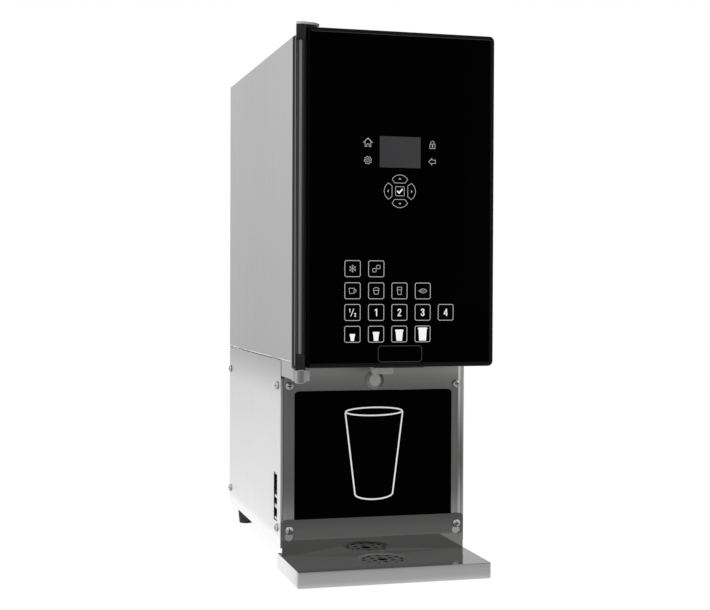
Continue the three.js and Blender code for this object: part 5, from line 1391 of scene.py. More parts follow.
@dataclass
class TouchPrint:
    """Graphics of the touch glass: keys, arrows and small pictures."""

    front: float = field(default_factory=lambda: Extent.of("door_glass").y[0])
    key: float = 18.0
    key_radius: float = 2.0
    columns: Sequence[float] = (-45.6, -18.0, 9.4, 37.1, 64.7)
    rows: Sequence[float] = (352.5, 327.7, 303.3, 278.8)
    line: float = 0.66
    picture_line: float = 0.5

    def build(self) -> None:
        """Prints everything."""
        self.keys()
        self.figures()
        self.cups()
        self.drinks()
        self.arrows()
        self.small_pictures()
        self.label()

    def keys(self) -> None:
        """Rounded squares of the keys."""
        made = Print("key_frames", self.front, self.line)
        for row, count in zip(self.rows, (2, 4, 5, 4)):
            for column in self.columns[:count]:
                made.frame((column, row), (self.key, self.key), self.key_radius)
        made.done(Body.DOOR, "pale_plastic", Finishes.key_ink)

    def figures(self) -> None:
        """Plain numbers of the portion keys."""
        row = self.rows[2]
        made = Print("key_figures", self.front, 0.6, 0.07)
        for text, column in zip("1234", self.columns[1:]):
            made.figure(text, (column, row), 8.4, 1.15)
        column = self.columns[0]
        made.line([(column - 1.9, row - 4.3), (column + 1.5, row + 4.3)], 0.8)
        made.figure("1", (column - 3.2, row + 2.2), 4.2, 0.7)
        made.figure("2", (column + 3.1, row - 2.6), 4.2, 0.7)
        made.done(Body.DOOR, "pale_plastic", Finishes.ink)

    def cups(self) -> None:
        """Filled cups that grow from key to key."""
        made = Print("cup_figures", self.front, self.line)
        floor = self.rows[3] - self.key / 2 + 1.4
        sizes = ((8.0, 3.2, 1.75), (10.2, 3.85, 2.5), (12.7, 4.95, 3.3), (14.9, 5.6, 4.1))
        for column, (height, half, foot) in zip(self.columns, sizes):
            lid, brim, neck = floor + height, floor + height - 1.9, half * 0.88
            right = [(foot, floor), (neck, brim), (half, brim), (half, lid - 1.0), (half * 0.9, lid)]
            left = [(-u, v) for u, v in reversed(right)]
            made.fill([(column + u, v) for u, v in right + left])
        made.done(Body.DOOR, "pale_plastic", Finishes.ink)

    def drinks(self) -> None:
        """Plain pictures in place of words on the drink keys."""
        made = Print("drink_figures", self.front, self.picture_line)
        columns, top, middle = self.columns, self.rows[0], self.rows[1]
        self._frost(made, (columns[0], top))
        for u, v in ((-2.2, -1.6), (2.4, 2.0)):
            made.frame((columns[1] + u, top + v), (4.0, 4.0), 0.8)
        self._mug(made, (columns[0], middle))
        self._foam_cup(made, (columns[1], middle))
        self._tall_glass(made, (columns[2], middle))
        self._leaf(made, (columns[3], middle))
        made.done(Body.DOOR, "pale_plastic", Finishes.key_ink)

    def _frost(self, made: Print, centre: Pair) -> None:
        """Six-armed frost star with barbs.

        Args:
            made: The print.
            centre: Middle of the picture.
        """
        for step in range(6):
            arm = Vector((0, 1))
            arm.rotate(Matrix.Rotation(step * math.pi / 3, 2))
            side = Vector((-arm.y, arm.x))
            at = Vector(centre)
            made.line([tuple(at + arm * 0.25), tuple(at + arm * 4.3)], 0.5)
            for hand in (-1, 1):
                made.line([tuple(at + arm * 2.3), tuple(at + arm * 3.4 + side * hand * 1.1)], 0.45)

    def _mug(self, made: Print, centre: Pair) -> None:
        """Mug with its handle.

        Args:
            made: The print.
            centre: Middle of the picture.
        """
        u, v = centre[0] - 0.9, centre[1]
        made.tapered((u, v), (2.6, -3), (3, 2.8))
        handle = arc_points((u + 3.2, v), (1.9, 1.7), 80, -80, 8)
        made.line([(u + 2.8, v + 1.8), *handle, (u + 2.7, v - 1.7)])

    def _foam_cup(self, made: Print, centre: Pair) -> None:
        """Cup with a dome of foam."""
        made.tapered(centre, (2.2, -3.8), (2.9, 0.6))
        made.line(arc_points((centre[0], centre[1] + 0.8), (3.3, 3.0), 0, 180, 12))

    def _tall_glass(self, made: Print, centre: Pair) -> None:
        """Tall glass with its filling."""
        made.tapered(centre, (1.9, -4.2), (2.7, 4.2))
        made.line([(centre[0] + half, centre[1] + 1.2) for half in (-2.2, 2.2)])

    def _leaf(self, made: Print, centre: Pair) -> None:
        """Leaf with its rib.

        Args:
            made: The print.
            centre: Middle of the picture.
        """
        u, v = centre
        upper = arc_points((u + 0.4, v - 3.1), (5.4, 5.4), 35, 145, 8)
        lower = arc_points((u + 0.4, v + 3.1), (5.4, 5.4), 215, 325, 8)
        made.ring(upper[:-1] + lower[:-1])
        made.line([(u - 5.3, v - 0.1), (u + 2.4, v)], 0.5)

    def arrows(self) -> None:
        """Four curved keys round the tick."""
        made = Print("arrow_keys", self.front, 0.5)
        centre = Vector((9.4, 440.3))
        shape = arc_points((0, 7.7), (10.8, 10.8), 32, 148, 10) + [(-6.1, 9.3), (6.1, 9.3)]
        tip = [(-1.6, 13.4), (1.6, 13.4), (0, 15.0)]
        for quarter in range(4):
            turn = Matrix.Rotation(quarter * math.pi / 2, 2)
            made.ring([tuple(turn @ Vector(point) + centre) for point in shape])
            made.fill([tuple(turn @ Vector(point) + centre) for point in tip])
        made.frame(tuple(centre), (10.3, 10.3), 0.7)
        made.done(Body.DOOR, "pale_plastic", Finishes.key_ink)
        tick = Print("tick", self.front, 1.6)
        offsets = ((-3.1, 0.3), (-0.9, -1.9), (3.2, 2.5))
        tick.line([(centre.x + u, centre.y + v) for u, v in offsets])
        tick.done(Body.DOOR, "pale_plastic", Finishes.ink)

    def small_pictures(self) -> None:
        """House, wheel, lock and back arrow beside the screen."""
        made = Print("small_pictures", self.front, self.picture_line)
        self._house(made, (-28.3, 494.3))
        self._wheel(made, (-28.3, 474.4))
        self._lock(made, (47.9, 493.8))
        arrow = [(-4.0, 0.0), (-0.4, -3.6), (-0.4, -1.9), (3.9, -1.9), (3.9, 1.9), (-0.4, 1.9), (-0.4, 3.6)]
        made.ring([(47.6 + u, 474.7 + v) for u, v in arrow])
        made.done(Body.DOOR, "pale_plastic", Finishes.key_ink)

    def _house(self, made: Print, centre: Pair) -> None:
        """House with its roof and doorway.

        Args:
            made: The print.
            centre: Middle of the picture.
        """
        u, v = centre
        made.line([(u - 5.2, v - 0.3), (u, v + 4.9), (u + 5.2, v - 0.3)], 0.75)
        wall = [(-3.3, 1.2), (-3.3, -4.6), (-1.3, -4.6), (-1.3, -1.6)]
        made.line([(u + x, v + z) for x, z in wall + [(-x, z) for x, z in reversed(wall)]])

    def _wheel(self, made: Print, centre: Pair) -> None:
        """Toothed wheel with its bore.

        Args:
            made: The print.
            centre: Middle of the picture.
        """
        rim, steps = [], 32
        for step in range(steps):
            radius = 4.3 if step % 4 in (0, 1) else 3.4
            angle = 2 * math.pi * (step + 0.5) / steps
            rim.append((centre[0] + radius * math.cos(angle), centre[1] + radius * math.sin(angle)))
        made.ring(rim, 0.5)
        made.ring(arc_points(centre, (1.6, 1.6), 0, 337.5, 15), 0.45)

    def _lock(self, made: Print, centre: Pair) -> None:
        """Padlock.

        Args:
            made: The print.
            centre: Middle of the picture.
        """
        u, v = centre
        made.tapered(centre, (3.1, -4.1), (3.1, 0.8))
        bow = arc_points((u, v + 2), (2.1, 2.2), 0, 180, 8)
        made.line([(u + 2.1, v + 0.9), *bow, (u - 2.1, v + 0.9)])
        made.line([(u, v - 0.2), (u, v - 3.0)], 0.9)

    def label(self) -> None:
        """Faint outline of the bare label under the keys."""
        made = Print("label_outline", self.front, 0.7)
        made.frame((10.4, 256.4), (51.6, 18.0), 3.6)
        made.done(Body.DOOR, "black_plastic", Finishes.faint_ink)


@dataclass
class Splash:
    """Splash panel with its insert, cup print, lamp and outlet."""

    insert: Extent = field(default_factory=lambda: Extent.of("splash_insert"))
    lamp: Extent = field(default_factory=lambda: Extent.of("cup_lamp"))
    plunger: Extent = field(default_factory=lambda: Extent.of("pinch_plunger"))
    bend: float = 6.0
    sheet: float = 1.2
    cup_line: float = 1.75
    cup_rim: Pair = (34.7, 4.75)
    cup_rim_z: float = 184.8
    cup_foot: Pair = (23.2, 7.0)
    cup_foot_z: float = 87.8
    cup_side: Pair = (35.2, 184.0)
    insert_corner: float = 4.7
    window_gap: float = 0.3
    window_corner: float = 5.0
    lamp_bore: float = 6.9
    plunger_bore: float = 4.7
    screw_bore: float = 2.4
    lamp_tip: float = 7.7
    lamp_stem: float = 6.6
    keyhole_centre: Pair = (102.6, 40.6)
    keyhole_radius: float = 4.9

    def build(self) -> None:
        """Builds every piece of the splash."""
        self.panel()
        box = self.insert
        work = Work("insert_plate").slab(box.x, box.z, box.y, self.insert_corner, Facing.FRONT, 0.25)
        work.done(Body.CABINET, "black_plastic", Finishes.insert, ["splash_insert"])
        self.cup()
        self.lamp_ring()
        self.outlet()

    def panel(self) -> None:
        """Sheet folded back round both sides, with its window and its holes."""
        box = Extent.of("splash_panel")
        reach, front, back = box.x[1], box.y[0], box.y[1]
        turns = [math.radians(90 * step / 12) for step in range(13)]
        outer, inner = [(reach, back)], [(reach - self.sheet, back)]
        for turn in turns:
            swing = self.bend * math.cos(turn), self.bend * (1 - math.sin(turn))
            outer.append((reach - self.bend + swing[0], front + swing[1]))
            short = self.bend - self.sheet
            swing = short * math.cos(turn), short * (1 - math.sin(turn))
            inner.append((reach - self.bend + swing[0], front + self.sheet + swing[1]))
        outer.append((outer[-1][0] - 0.3, front))
        inner.append((inner[-1][0] - 0.3, front + self.sheet))
        half = outer + [(0.0, front)]
        path = half + [(-u, v) for u, v in reversed(outer)]
        path += [(-u, v) for u, v in inner] + [(0.0, front + self.sheet)] + inner[::-1]
        work = Work("splash_sheet")
        work.skin([work.loop(path, z, Facing.LEVEL) for z in box.z]).outward()
        through = (front - 1, front + self.sheet + 1)
        window, gap = self.insert, self.window_gap
        window_u = (window.x[0] - gap, window.x[1] + gap)
        window_v = (window.z[0] - gap, window.z[1] + gap)
        cutters = [Work("window").slab(window_u, window_v, through, self.window_corner, Facing.FRONT, 0.02)]
        lamp = self.lamp
        holes = [
            (0.0, lamp.middle()[2], self.lamp_bore), (0.0, self.plunger.middle()[2], self.plunger_bore)
        ]
        for node in ("splash_screw_left", "splash_screw_right", "tray_screw_left", "tray_screw_right"):
            middle = Extent.of(node).middle()
            holes.append((middle[0], middle[2], self.screw_bore))
        for x, z, radius in holes:
            profile = [(0, through[0]), (radius, through[0]), (radius, through[1]), (0, through[1])]
            cutters.append(Work("hole").turned(profile, (x, z), Facing.FRONT, 32))
        work.cut(cutters)
        right_x = ORIGIN.x + (reach - self.bend) * MM
        edge_x = (reach - 1.3) * MM

        # The folds and edges of the splash panel take tones of painted reflection and painted highlight.
        def bent(face: Face) -> int:
            """1 on the right fold, 2 at the left edge, 3 at the right edge, 0 between."""
            return int(face.center.x > right_x) + 2 * int(abs(face.center.x - ORIGIN.x) > edge_x)

        others = [Finishes.splash_bend, Finishes.splash_edge, Finishes.splash_hem]
        slot, node = "dark_polished_steel", "splash_panel"
        work.done(Body.CABINET, slot, Finishes.splash, [node], 12, bent, others)
        backing = Print("keyhole_backing", front, 0.5, 0.1)
        for side in (-1, 1):
            (x, z), radius = self.keyhole_centre, self.keyhole_radius
            backing.fill(arc_points((side * x, z), (radius, radius), 0, 350, 35))
        backing.done(Body.CABINET, "brushed_steel", Finishes.keyhole)

    def cup(self) -> None:
        """Outline of a cup printed on the insert."""
        made = Print("cup_outline", self.insert.y[0], self.cup_line)
        made.ring(arc_points((0.0, self.cup_rim_z), self.cup_rim, 0, 352.5, 47))
        foot = arc_points((0.0, self.cup_foot_z), self.cup_foot, 180, 360, 24)
        reach, top = self.cup_side
        made.line([(-reach, top), *foot, (reach, top)])
        made.done(Body.CABINET, "pale_plastic", Finishes.ink)

    def lamp_ring(self) -> None:
        """Ring with its frosted lens."""
        box = self.lamp
        centre = (0.0, box.middle()[2])
        radius = (box.z[1] - box.z[0]) / 2
        front, back = box.y
        seat = Extent.of("splash_panel").y[0] - 0.3
        tip, stem = self.lamp_tip, self.lamp_stem
        ring = [(0, back), (stem, back), (stem, seat), (radius, seat), (radius, seat - 0.6)]
        ring += [(radius - 0.2, seat - 0.8), (tip + 0.15, front + 0.2), (tip - 0.1, front)]
        ring += [(tip - 0.6, front), (tip - 0.6, front + 0.25), (0, front + 0.25)]
        work = Work("lamp_ring").turned(ring, centre, Facing.FRONT, 56)
        # The ring's tones are painted light and shade.
        work.done(Body.CABINET, "frosted_lens", Finishes.lamp_cone, ["cup_lamp"])
        lens = [(0, front + 0.2), (tip - 0.62, front + 0.2), (tip - 0.7, front + 0.06), (4.5, front + 0.03)]
        work = Work("lamp_lens").turned([*lens, (0, front)], centre, Facing.FRONT, 56)
        work.done(Body.CABINET, "frosted_lens", Finishes.frosted)

    def outlet(self) -> None:
        """Outlet housing and tube."""
        dress(Body.CABINET, "grey_cast", Finishes.pale_cast, ["valve_body"], 40)
        dress(Body.CABINET, "silicone", Finishes.silicone, ["outlet_tube"], 50)
        dress(Body.PLUNGER, "dark_polished_steel", Finishes.plunger, ["pinch_plunger"], 50)
        dress(Body.CABINET, "galvanised_sheet", Finishes.galvanised, ["solenoid"], 40)


@dataclass
class Screws:
    """Pan-head screws with cross recesses."""

    height: float = 2.7
    radius: float = 4.9
    shank: float = 2.0
    recess_reach: float = 2.5
    recess_half_width: float = 0.55
    recess_depth: float = 1.5

    def build(self) -> None:
        """Builds every screw at its CAD node."""
        for hand, side in (("left", -1), ("right", 1)):
            for end in ("front", "rear"):
                for height in ("low", "high"):
                    self._screw(f"{hand}_cover_screw_{end}_{height}", Facing.SIDE, side)
            self._screw(f"splash_screw_{hand}", Facing.FRONT, -1)
            self._screw(f"tray_screw_{hand}", Facing.FRONT, -1)

    def _screw(self, node: str, facing: Facing, side: int) -> None:
        """One screw.

        Args:
            node: The CAD node.
            facing: Plane of its head.
            side: 1 where the head points along the depth axis, -1 against it.
        """
        box = Extent.of(node)
        middle = box.middle()
        if facing is Facing.SIDE:
            centre, span = (middle[1], middle[2]), box.x
        else:
            centre, span = (middle[0], middle[2]), box.y
        tip = span[0] if side < 0 else span[1]
        point = span[1] if side < 0 else span[0]
        seat = tip - side * self.height
        profile = [(0, tip), (1.6, tip - side * 0.03)]
        for turn in (20, 35, 50, 65, 80):
            angle = math.radians(turn)
            reach = self.radius * math.sin(angle)
            profile.append((reach, tip - side * self.height * 0.72 * (1 - math.cos(angle))))
        profile += [(self.radius, seat + side * 0.5), (self.radius - 0.25, seat), (self.shank, seat)]
        profile += [(self.shank, point + side * 0.8), (1.3, point), (0, point)]
        work = Work(f"{node}_head").turned(profile, centre, facing, 32)
        long, wide, deep = self.recess_reach, self.recess_half_width, self.recess_depth
        floor = tip - side * deep
        depth = tuple(sorted((floor, tip + side * 1.0)))
        cutters = []
        for reach_u, reach_v in ((long, wide), (wide, long)):
            u, v = about(centre[0], 2 * reach_u), about(centre[1], 2 * reach_v)
            cutters.append(Work("recess_arm").slab(u, v, depth, 0.2, facing, 0.05, 2))
        work.outward().cut(cutters)
        axis = facing.value[2]
        heart = ORIGIN.place(*centre, floor, facing)

        def sunk(face: Face) -> int:
            """1 in the recess, 0 elsewhere.

            Args:
                face: A face of the piece.

            Returns:
                The finish's number.
            """
            out = face.center - heart
            rise = out.dot(axis)
            inside = abs(rise) < (deep - 0.05) * MM and (out - axis * rise).length < long * MM
            upright = abs(face.normal.dot(axis)) < 0.2 or abs(rise) < 0.05 * MM
            return int(inside and upright)

        # The recess takes painted shade, and the side screws take the lighter copy of the steel as painted
        # light.
        head = Finishes.bright_screw if facing is Facing.SIDE else Finishes.screw
        work.done(Body.CABINET, "screw_steel", head, [node], 40, sunk, [Finishes.recess])


@dataclass
class Cabinet:
    """Cold cabinet, its hinge parts and what it holds."""

    stop_height: float = 2.9
    lip_z: Pair = (257.4, 605.3)
    plate_tuck: float = 7.0
    plate_left: float = -106.8

    def build(self) -> None:
        """Dresses the cabinet's pieces."""
        body = Body.CABINET

        def lid(face: Face) -> int:
            """1 on the top, 0 elsewhere."""
            return int(face.normal.z > 0.7)

        # Painted shade: the shell's top faces take the darker top tone.
        shell = carried("cabinet_shell")
        shell.done(body, "brushed_steel", Finishes.side, ["cabinet_shell"], 50, lid, [Finishes.top])
        for node, slot, finish, sharp in (
            ("cabinet_floor", "brushed_steel", Finishes.side, 35),
            ("cabinet_back", "galvanised_sheet", Finishes.galvanised, 35),
            ("insulation", "foam", Finishes.foam, 35),
            ("liner", "liner_plastic", Finishes.liner, 40),
            ("evaporator", "aluminium", Finishes.aluminium, 50),
        ):
            dress(body, slot, finish, [node], sharp)
        self.hinge_trim()
        self.top_plate()
        self.bracket()
        dress(body, "pale_plastic", Finishes.pale_plastic, ["product_tank"], 40)
        dress(Body.LID, "pale_plastic", Finishes.pale_plastic, ["tank_lid"], 40)

    def hinge_trim(self) -> None:
        """Trim beside the hinge bar, with painted light on the right of its front face, a dark stop at its
        foot and a pale lip along it that carries painted light in the gap.
        """
        body, slot, node = Body.CABINET, "black_plastic", "hinge_trim"
        others = [Finishes.trim_edge]
        carried(node).done(body, slot, Finishes.trim_black, [node], 40, forward, others)
        trim = Extent.of(node)
        stop_x = (trim.x[0] - 0.05, trim.x[1] + 1.4)
        stop_y = (trim.y[0] - 0.05, trim.y[1] - 3.8)
        stop = Work("trim_stop").block(stop_x, stop_y, (trim.z[0], trim.z[0] + self.stop_height), 0.1)
        stop.done(body, slot, Finishes.recess)
        lip_x = (trim.x[1] - 0.1, trim.x[1] + 1.35)
        lip_y = (trim.y[1] - 4.2, trim.y[1] - 3.9)
        lip = Work("trim_lip").block(lip_x, lip_y, self.lip_z, 0.05)
        lip.done(body, slot, Finishes.trim_lip)

    def top_plate(self) -> None:
        """Plate of the upper hinge pin, with painted shade round its edge, and narrower behind the pin."""

        def edge(face: Face) -> int:
            """1 round the edge, 0 elsewhere."""
            return int(abs(face.normal.z) < STEEP)

        node = "top_hinge_plate"
        work = carried(node).tucked(self.plate_tuck, self.plate_left)
        work.done(Body.CABINET, "grey_cast", Finishes.plate, [node], 40, edge, [Finishes.plate_edge])

    def bracket(self) -> None:
        """Lower hinge bracket, with painted shade on its front and painted light and shade round its
        knuckle.
        """
        bar = Extent.of("hinge_bar")
        radius = (bar.y[1] - bar.y[0]) / 2
        axis = ORIGIN.point(bar.x[0] + radius, bar.y[0] + radius, 0)

        def turned(face: Face) -> int:
            """2 round the knuckle, 1 on faces that look forwards, 0 elsewhere.

            Args:
                face: A face of the piece.

            Returns:
                The finish's number.
            """
            out = Vector((face.center.x - axis.x, face.center.y - axis.y))
            if out.length > radius * 0.9 * MM and out.normalized().dot(face.normal.xy) > 0.98:
                return 2 if out.length < radius * 1.4 * MM and face.center.y < axis.y else 0
            return forward(face)

        node, others = "lower_hinge_bracket", [Finishes.arm, Finishes.knuckle]
        carried(node).done(Body.CABINET, "grey_cast", Finishes.bracket, [node], 40, turned, others)


@dataclass
class Base:
    """Base under the cabinet, its covers, sockets and machinery."""

    shell: Extent = field(default_factory=lambda: Extent.of("cabinet_shell"))
    cover: Extent = field(default_factory=lambda: Extent.of("left_cover"))
    wall: float = 1.2
    sole: float = 9.5
    hem_breaks: Sequence[float] = (92.0, 124.0, 314.0, 345.0)
    seam_ends: Pair = (73.0, 412.0)
    seam_breaks: Sequence[float] = (92.0, 124.0, 314.0, 395.0)
    surround_y: Pair = (91.0, 121.0)
    surround_bands: Sequence[Pair] = ((109.6, 111.4), (81.8, 84.6), (69.4, 73.2), (56.0, 58.4))

    def build(self) -> None:
        """Dresses the base's pieces."""
        body = Body.CABINET
        dress(body, "galvanised_sheet", Finishes.galvanised, ["chassis"])
        # Painted shade: the covers' forward faces take the darker edge tone.
        for node in ("left_cover", "right_cover"):
            others = [Finishes.base_edge]
            carried(node).done(body, "brushed_steel", Finishes.base_side, [node], 20, forward, others)
        black, sheet = Finishes.black_plastic, Finishes.galvanised
        dress(body, "galvanised_sheet", sheet, ["rear_grille"], 40)
        # Painted light: the socket panel takes a pale paint in place of its galvanised sheet.
        dress(body, "galvanised_sheet", Finishes.lightened_socket_panel, ["socket_panel"])
        dress(body, "black_plastic", black, ["switch_body", "data_socket", "power_inlet"])
        dress(Body.ROCKER, "black_plastic", black, ["switch_rocker"])
        dress(body, "black_frame", Finishes.black_frame, ["compressor"], 40)
        dress(body, "aluminium", Finishes.aluminium, ["condenser"])
        dress(body, "black_plastic", black, ["fan_housing"], 40)
        dress(Body.FAN, "black_plastic", black, ["condenser_fan"])
        dress(body, "galvanised_sheet", sheet, ["power_supply"])
        self.seams()
        self.surround()
        for end in ("front", "rear"):
            for hand in ("left", "right"):
                self._foot(f"foot_{end}_{hand}")

    def surround(self) -> None:
        """Pale moulding round the switch and the sockets."""
        panel = Extent.of("socket_panel")
        x = (panel.x[0] - 3.5, panel.x[0] - 1.3)
        work = Work("socket_surround")
        for z in self.surround_bands:
            work.block(x, self.surround_y, z, 0.1)
        work.done(Body.CABINET, "pale_plastic", Finishes.surround)

    def seams(self) -> None:
        """Strips where the cabinet, the covers and the splash panel meet, most of them carrying painted
        highlights and painted shade.
        """
        self._hem("left", -1)
        self._cover_joint()
        self._cover_lip("left", -1)
        self._hem("right", 1)
        self._cover_lip("right", 1)
        self._splash_fold_light()

    def _hem(self, hand: str, side: int) -> None:
        """Painted highlight along the cabinet's hem, and a near-black strip under it as painted shadow in
        the seam.

        Args:
            hand: Which side, in words.
            side: -1 on the left, 1 on the right.
        """
        face, low = side * self.shell.x[1], self.shell.z[0]
        front, rear = self.shell.y[0] + 1, self.shell.y[1] - 1
        hem = (Finishes.hem, [front, *self.hem_breaks, rear], 0.06, (low, low + 1.2), 0.04)
        first, last = self.seam_ends
        seam_places = [first, *self.seam_breaks, last]
        # Painted shadow: the near-black seam strip under the hem.
        seam = (Finishes.recess, seam_places, 0.03, (low - 1.1, low - 0.05), 0.02)
        for word, (finish, places, proud, z, edge) in (("hem", hem), ("seam", seam)):
            x = tuple(sorted((face - side * 0.3, face + side * proud)))
            work = Work(f"cabinet_{word}_{hand}")
            for y in zip(places[::2], places[1::2]):
                work.block(x, y, z, edge)
            work.done(Body.CABINET, "brushed_steel", finish)

    def _cover_joint(self) -> None:
        """Dark joint in front of the left cover, behind the hinge bracket."""
        cover, face = self.cover, -self.shell.x[1]
        y, z = (cover.y[0] - 3.0, cover.y[0] - 0.1), (cover.z[1] - 22.0, cover.z[1] - 0.5)
        joint = Work("cover_joint_left").block((face - 0.06, face + self.wall), y, z, 0.02)
        joint.done(Body.CABINET, "black_rubber", Finishes.recess)

    def _cover_lip(self, hand: str, side: int) -> None:
        """Folded front lip of a cover, in the darker edge tone as painted shade.

        Args:
            hand: Which side, in words.
            side: -1 on the left, 1 on the right.
        """
        cover, face = self.cover, side * self.shell.x[1]
        x = tuple(sorted((face, face - side * 1.25)))
        y, z = (cover.y[0] + 0.05, cover.y[0] + 0.4), (cover.z[0] + 2, cover.z[1] - 21)
        lip = Work(f"cover_lip_{hand}").block(x, y, z, 0.05)
        lip.done(Body.CABINET, "brushed_steel", Finishes.base_edge)

    def _splash_fold_light(self) -> None:
        """Strip between the right cover and the splash panel's fold that carries painted light from the
        fold.
        """
        cover, inner = self.cover, self.shell.x[1] - self.wall
        y, z = (cover.y[0] - 0.5, cover.y[0] - 0.1), (cover.z[0] + 2, cover.z[1] - 1.5)
        lit_fold_strip = Work("splash_fold_light_right").block((inner - 2.7, inner - 0.05), y, z, 0.03)
        lit_fold_strip.done(Body.CABINET, "silicone", Finishes.lit_fold_strip)

    def _foot(self, node: str) -> None:
        """Tapered foot with a rounded sole.

        Args:
            node: The CAD node.
        """
        box = Extent.of(node)
        middle = box.middle()
        top = (box.x[1] - box.x[0]) / 2
        height = box.z[1]
        sole = self.sole
        profile = [(0, 0), (sole - 1.5, 0), (sole - 0.6, 0.25), (sole - 0.1, 0.8), (sole, 1.6)]
        profile += [(top - 0.5, height - 2.2), (top, height - 1.5), (top, height - 0.3)]
        profile += [(top - 0.3, height), (0, height)]
        work = Work(f"{node}_turned").turned(profile, (middle[0], middle[1]), Facing.LEVEL, 48)
        work.done(Body.CABINET, "black_rubber", Finishes.rubber, [node], 40)


@dataclass
class Tray:
    """Drip tray and its pan."""

    hole: float = 5.8
    slot_length: float = 5.6
    slot_width: float = 4.6
    rings: Sequence[tuple[float, int]] = ((12.5, 6), (22.5, 12))
    dish: Pair = (0.0, 31.5)
    sheet_top: float = 17.7

    def build(self) -> None:
        """Dresses the tray: polished inside, brushed on its folded edges, with painted light and shade in
        their tones.
        """
        box = Extent.of("drip_tray")
        top = box.z[0] + self.sheet_top
        edge_z = ORIGIN.z + (top - 0.9) * MM
        high_z = ORIGIN.z + (top + 1.0) * MM
        front_y = ORIGIN.y + (box.y[0] + 1.0) * MM
        end_x = (box.x[1] - 1.0) * MM

        # Faces are sorted for their painted light and shade; hole walls take the drain shadow.
        def folded(face: Face) -> int:
            """1 on the front edge, 2 the ends, 3 the upstand, 4 hole walls, 5 the dish's far side.

            Args:
                face: A face of the piece.

            Returns:
                The finish's number.
            """
            if face.center.z > high_z:
                return 3
            if face.center.y < front_y and forward(face):
                return 1
            if abs(face.center.x - ORIGIN.x) > end_x and abs(face.normal.x) > STEEP:
                return 2
            if abs(face.normal.z) < STEEP and face.center.z < edge_z:
                return 4
            return 5 if face.normal.z > STEEP and face.normal.y < -0.06 else 0

        tray = carried("drip_tray").cut(self._drain(self.dish, (top - 6, top + 0.5)))
        others = [
            Finishes.tray_front, Finishes.tray_end, Finishes.upstand, Finishes.drain, Finishes.dish_side
        ]
        slot, node = "dark_polished_steel", "drip_tray"
        tray.done(Body.TRAY, slot, Finishes.tray, [node], 15, folded, others)
        # The pan's near-black tone is painted shade under the tray.
        dress(Body.TRAY, "brushed_steel", Finishes.pan, ["drip_pan"], 40)

    def _drain(self, centre: Pair, depth: Pair) -> list[Work]:
        """Cutters that ease the drain's hole and its two rings of slots.

        Args:
            centre: Middle of the dish.
            depth: Span of the cut.

        Returns:
            The cutters.
        """
        hole = [(0, depth[0]), (self.hole, depth[0]), (self.hole, depth[1]), (0, depth[1])]
        cutters = [Work("drain_hole").turned(hole, centre, Facing.LEVEL, 32)]
        length, width = self.slot_length, self.slot_width
        for reach, count in self.rings:
            shape = rounded_points(about(0.0, length), about(reach, width), width * 0.49, 4)
            for step in range(count):
                turn = Matrix.Rotation(2 * math.pi * step / count, 2)
                points = [tuple(turn @ Vector(point) + Vector(centre)) for point in shape]
                slot = Work("drain_slot")
                slot.skin([slot.loop(points, level, Facing.LEVEL) for level in depth])
                cutters.append(slot)
        return cutters


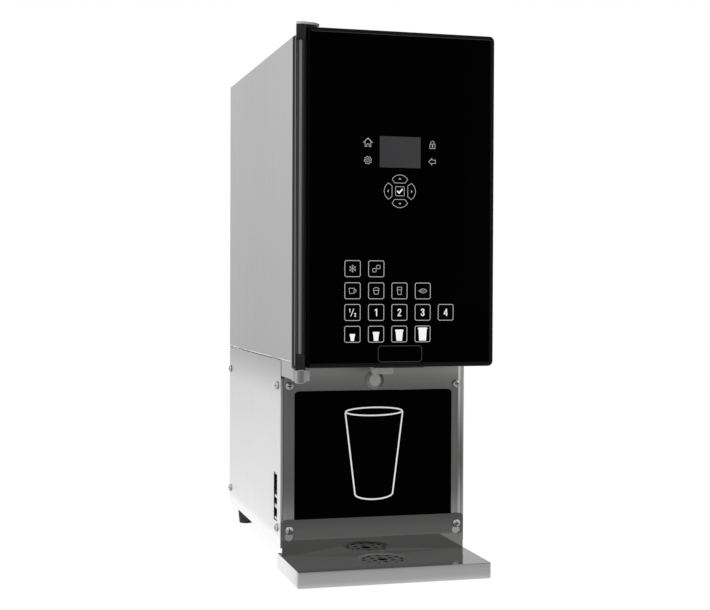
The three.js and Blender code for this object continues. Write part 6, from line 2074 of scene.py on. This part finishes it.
@dataclass(frozen=True)
class Studio:
    """Camera, lights, floor and world."""

    eye: Point = (-433.7, -1449.8, 335.7)
    yaw: float = 15.091
    pitch: float = -0.915
    roll: float = 0.217
    lens: float = 67.87
    sensor: float = 36.0
    ambient: float = 0.62
    target: Point = (0, 150, 300)
    floor_level: float = 0.8
    floor_glow: float = 1.08
    floor_share: float = 0.86
    floor_reach: float = 9.0

    def build(self) -> None:
        """Builds the studio."""
        self.camera()
        self.world()
        self.floor()
        self.lamps()
        bpy.context.scene.view_settings.view_transform = "Standard"

    def camera(self) -> None:
        """Camera at the photograph's viewing angle."""
        yaw, pitch, roll = (math.radians(a) for a in (self.yaw, self.pitch, self.roll))
        level = Vector((math.sin(yaw), math.cos(yaw), 0)) * math.cos(pitch)
        ahead = level + Vector((0, 0, math.sin(pitch)))
        right = Vector((math.cos(yaw), -math.sin(yaw), 0))
        up = right.cross(ahead)
        turned_right = right * math.cos(roll) + up * math.sin(roll)
        turned_up = up * math.cos(roll) - right * math.sin(roll)
        data = bpy.data.cameras.new("camera")
        data.lens = self.lens
        data.sensor_width = self.sensor
        camera = bpy.data.objects.new("camera", data)
        bpy.context.scene.collection.objects.link(camera)
        camera.matrix_world = Matrix((
            (turned_right.x, turned_up.x, -ahead.x, 0),
            (turned_right.y, turned_up.y, -ahead.y, 0),
            (turned_right.z, turned_up.z, -ahead.z, 0),
            (0, 0, 0, 1),
        ))
        camera.location = ORIGIN.point(*self.eye)
        data.clip_end = 50
        bpy.context.scene.camera = camera

    def world(self) -> None:
        """White where it is seen, softer where it lights."""
        world = bpy.data.worlds.new("studio")
        bpy.context.scene.world = world
        tree = Tree(world)
        seen = (tree.ray("Camera") + tree.ray("Glossy") + tree.ray("Transmission")).clamped()
        strength = seen * (1.0 - self.ambient) + self.ambient
        shown = {"Color": grey(1.0), "Strength": strength}
        tree.end(tree.node("ShaderNodeBackground", {}, shown), "ShaderNodeOutputWorld")

    def floor(self) -> None:
        """Pale floor that keeps a faint shadow."""
        mesh = bmesh.new()
        bmesh.ops.create_grid(mesh, x_segments=2, y_segments=2, size=self.floor_reach)
        floor = _loose_object("floor", mesh)
        material = bpy.data.materials.new("pale_floor")
        tree = Tree(material)
        seen = (tree.ray("Camera") + tree.ray("Glossy")).clamped()
        diffuse = tree.node("ShaderNodeBsdfDiffuse", {}, {"Color": grey(self.floor_level)})
        shine = {"Color": grey(1.0), "Strength": self.floor_glow}
        glow = tree.node("ShaderNodeEmission", {}, shine)
        tree.end(tree.node("ShaderNodeMixShader", {}, {0: seen * self.floor_share, 1: diffuse, 2: glow}))
        floor.data.materials.append(material)

    def lamps(self) -> None:
        """Two soft lamps."""
        self._lamp("key", (-1500, -1500, 1900), 1.6, 26)
        self._lamp("fill", (1700, -1300, 1100), 1.8, 12)

    def _lamp(self, name: str, place: Point, size: float, power: float) -> None:
        """One soft lamp.

        Args:
            name: Its name.
            place: Where it stands.
            size: Its width, in metres.
            power: Its power, in watts.
        """
        data = bpy.data.lights.new(name, "AREA")
        data.size = size
        data.energy = power
        lamp = bpy.data.objects.new(name, data)
        bpy.context.scene.collection.objects.link(lamp)
        lamp.location = ORIGIN.point(*place)
        lamp.rotation_mode = "QUATERNION"
        lamp.rotation_quaternion = (ORIGIN.point(*self.target) - lamp.location).to_track_quat("-Z", "Y")


def main() -> None:
    """Builds the machine and its studio."""
    logging.basicConfig(level=logging.INFO)
    for assembly in (Cabinet(), Base(), Splash(), Tray(), Door(), TouchPrint(), Screws(), Studio()):
        LOG.info("%s", type(assembly).__name__)
        assembly.build()


if __name__ == "__main__":
    main()
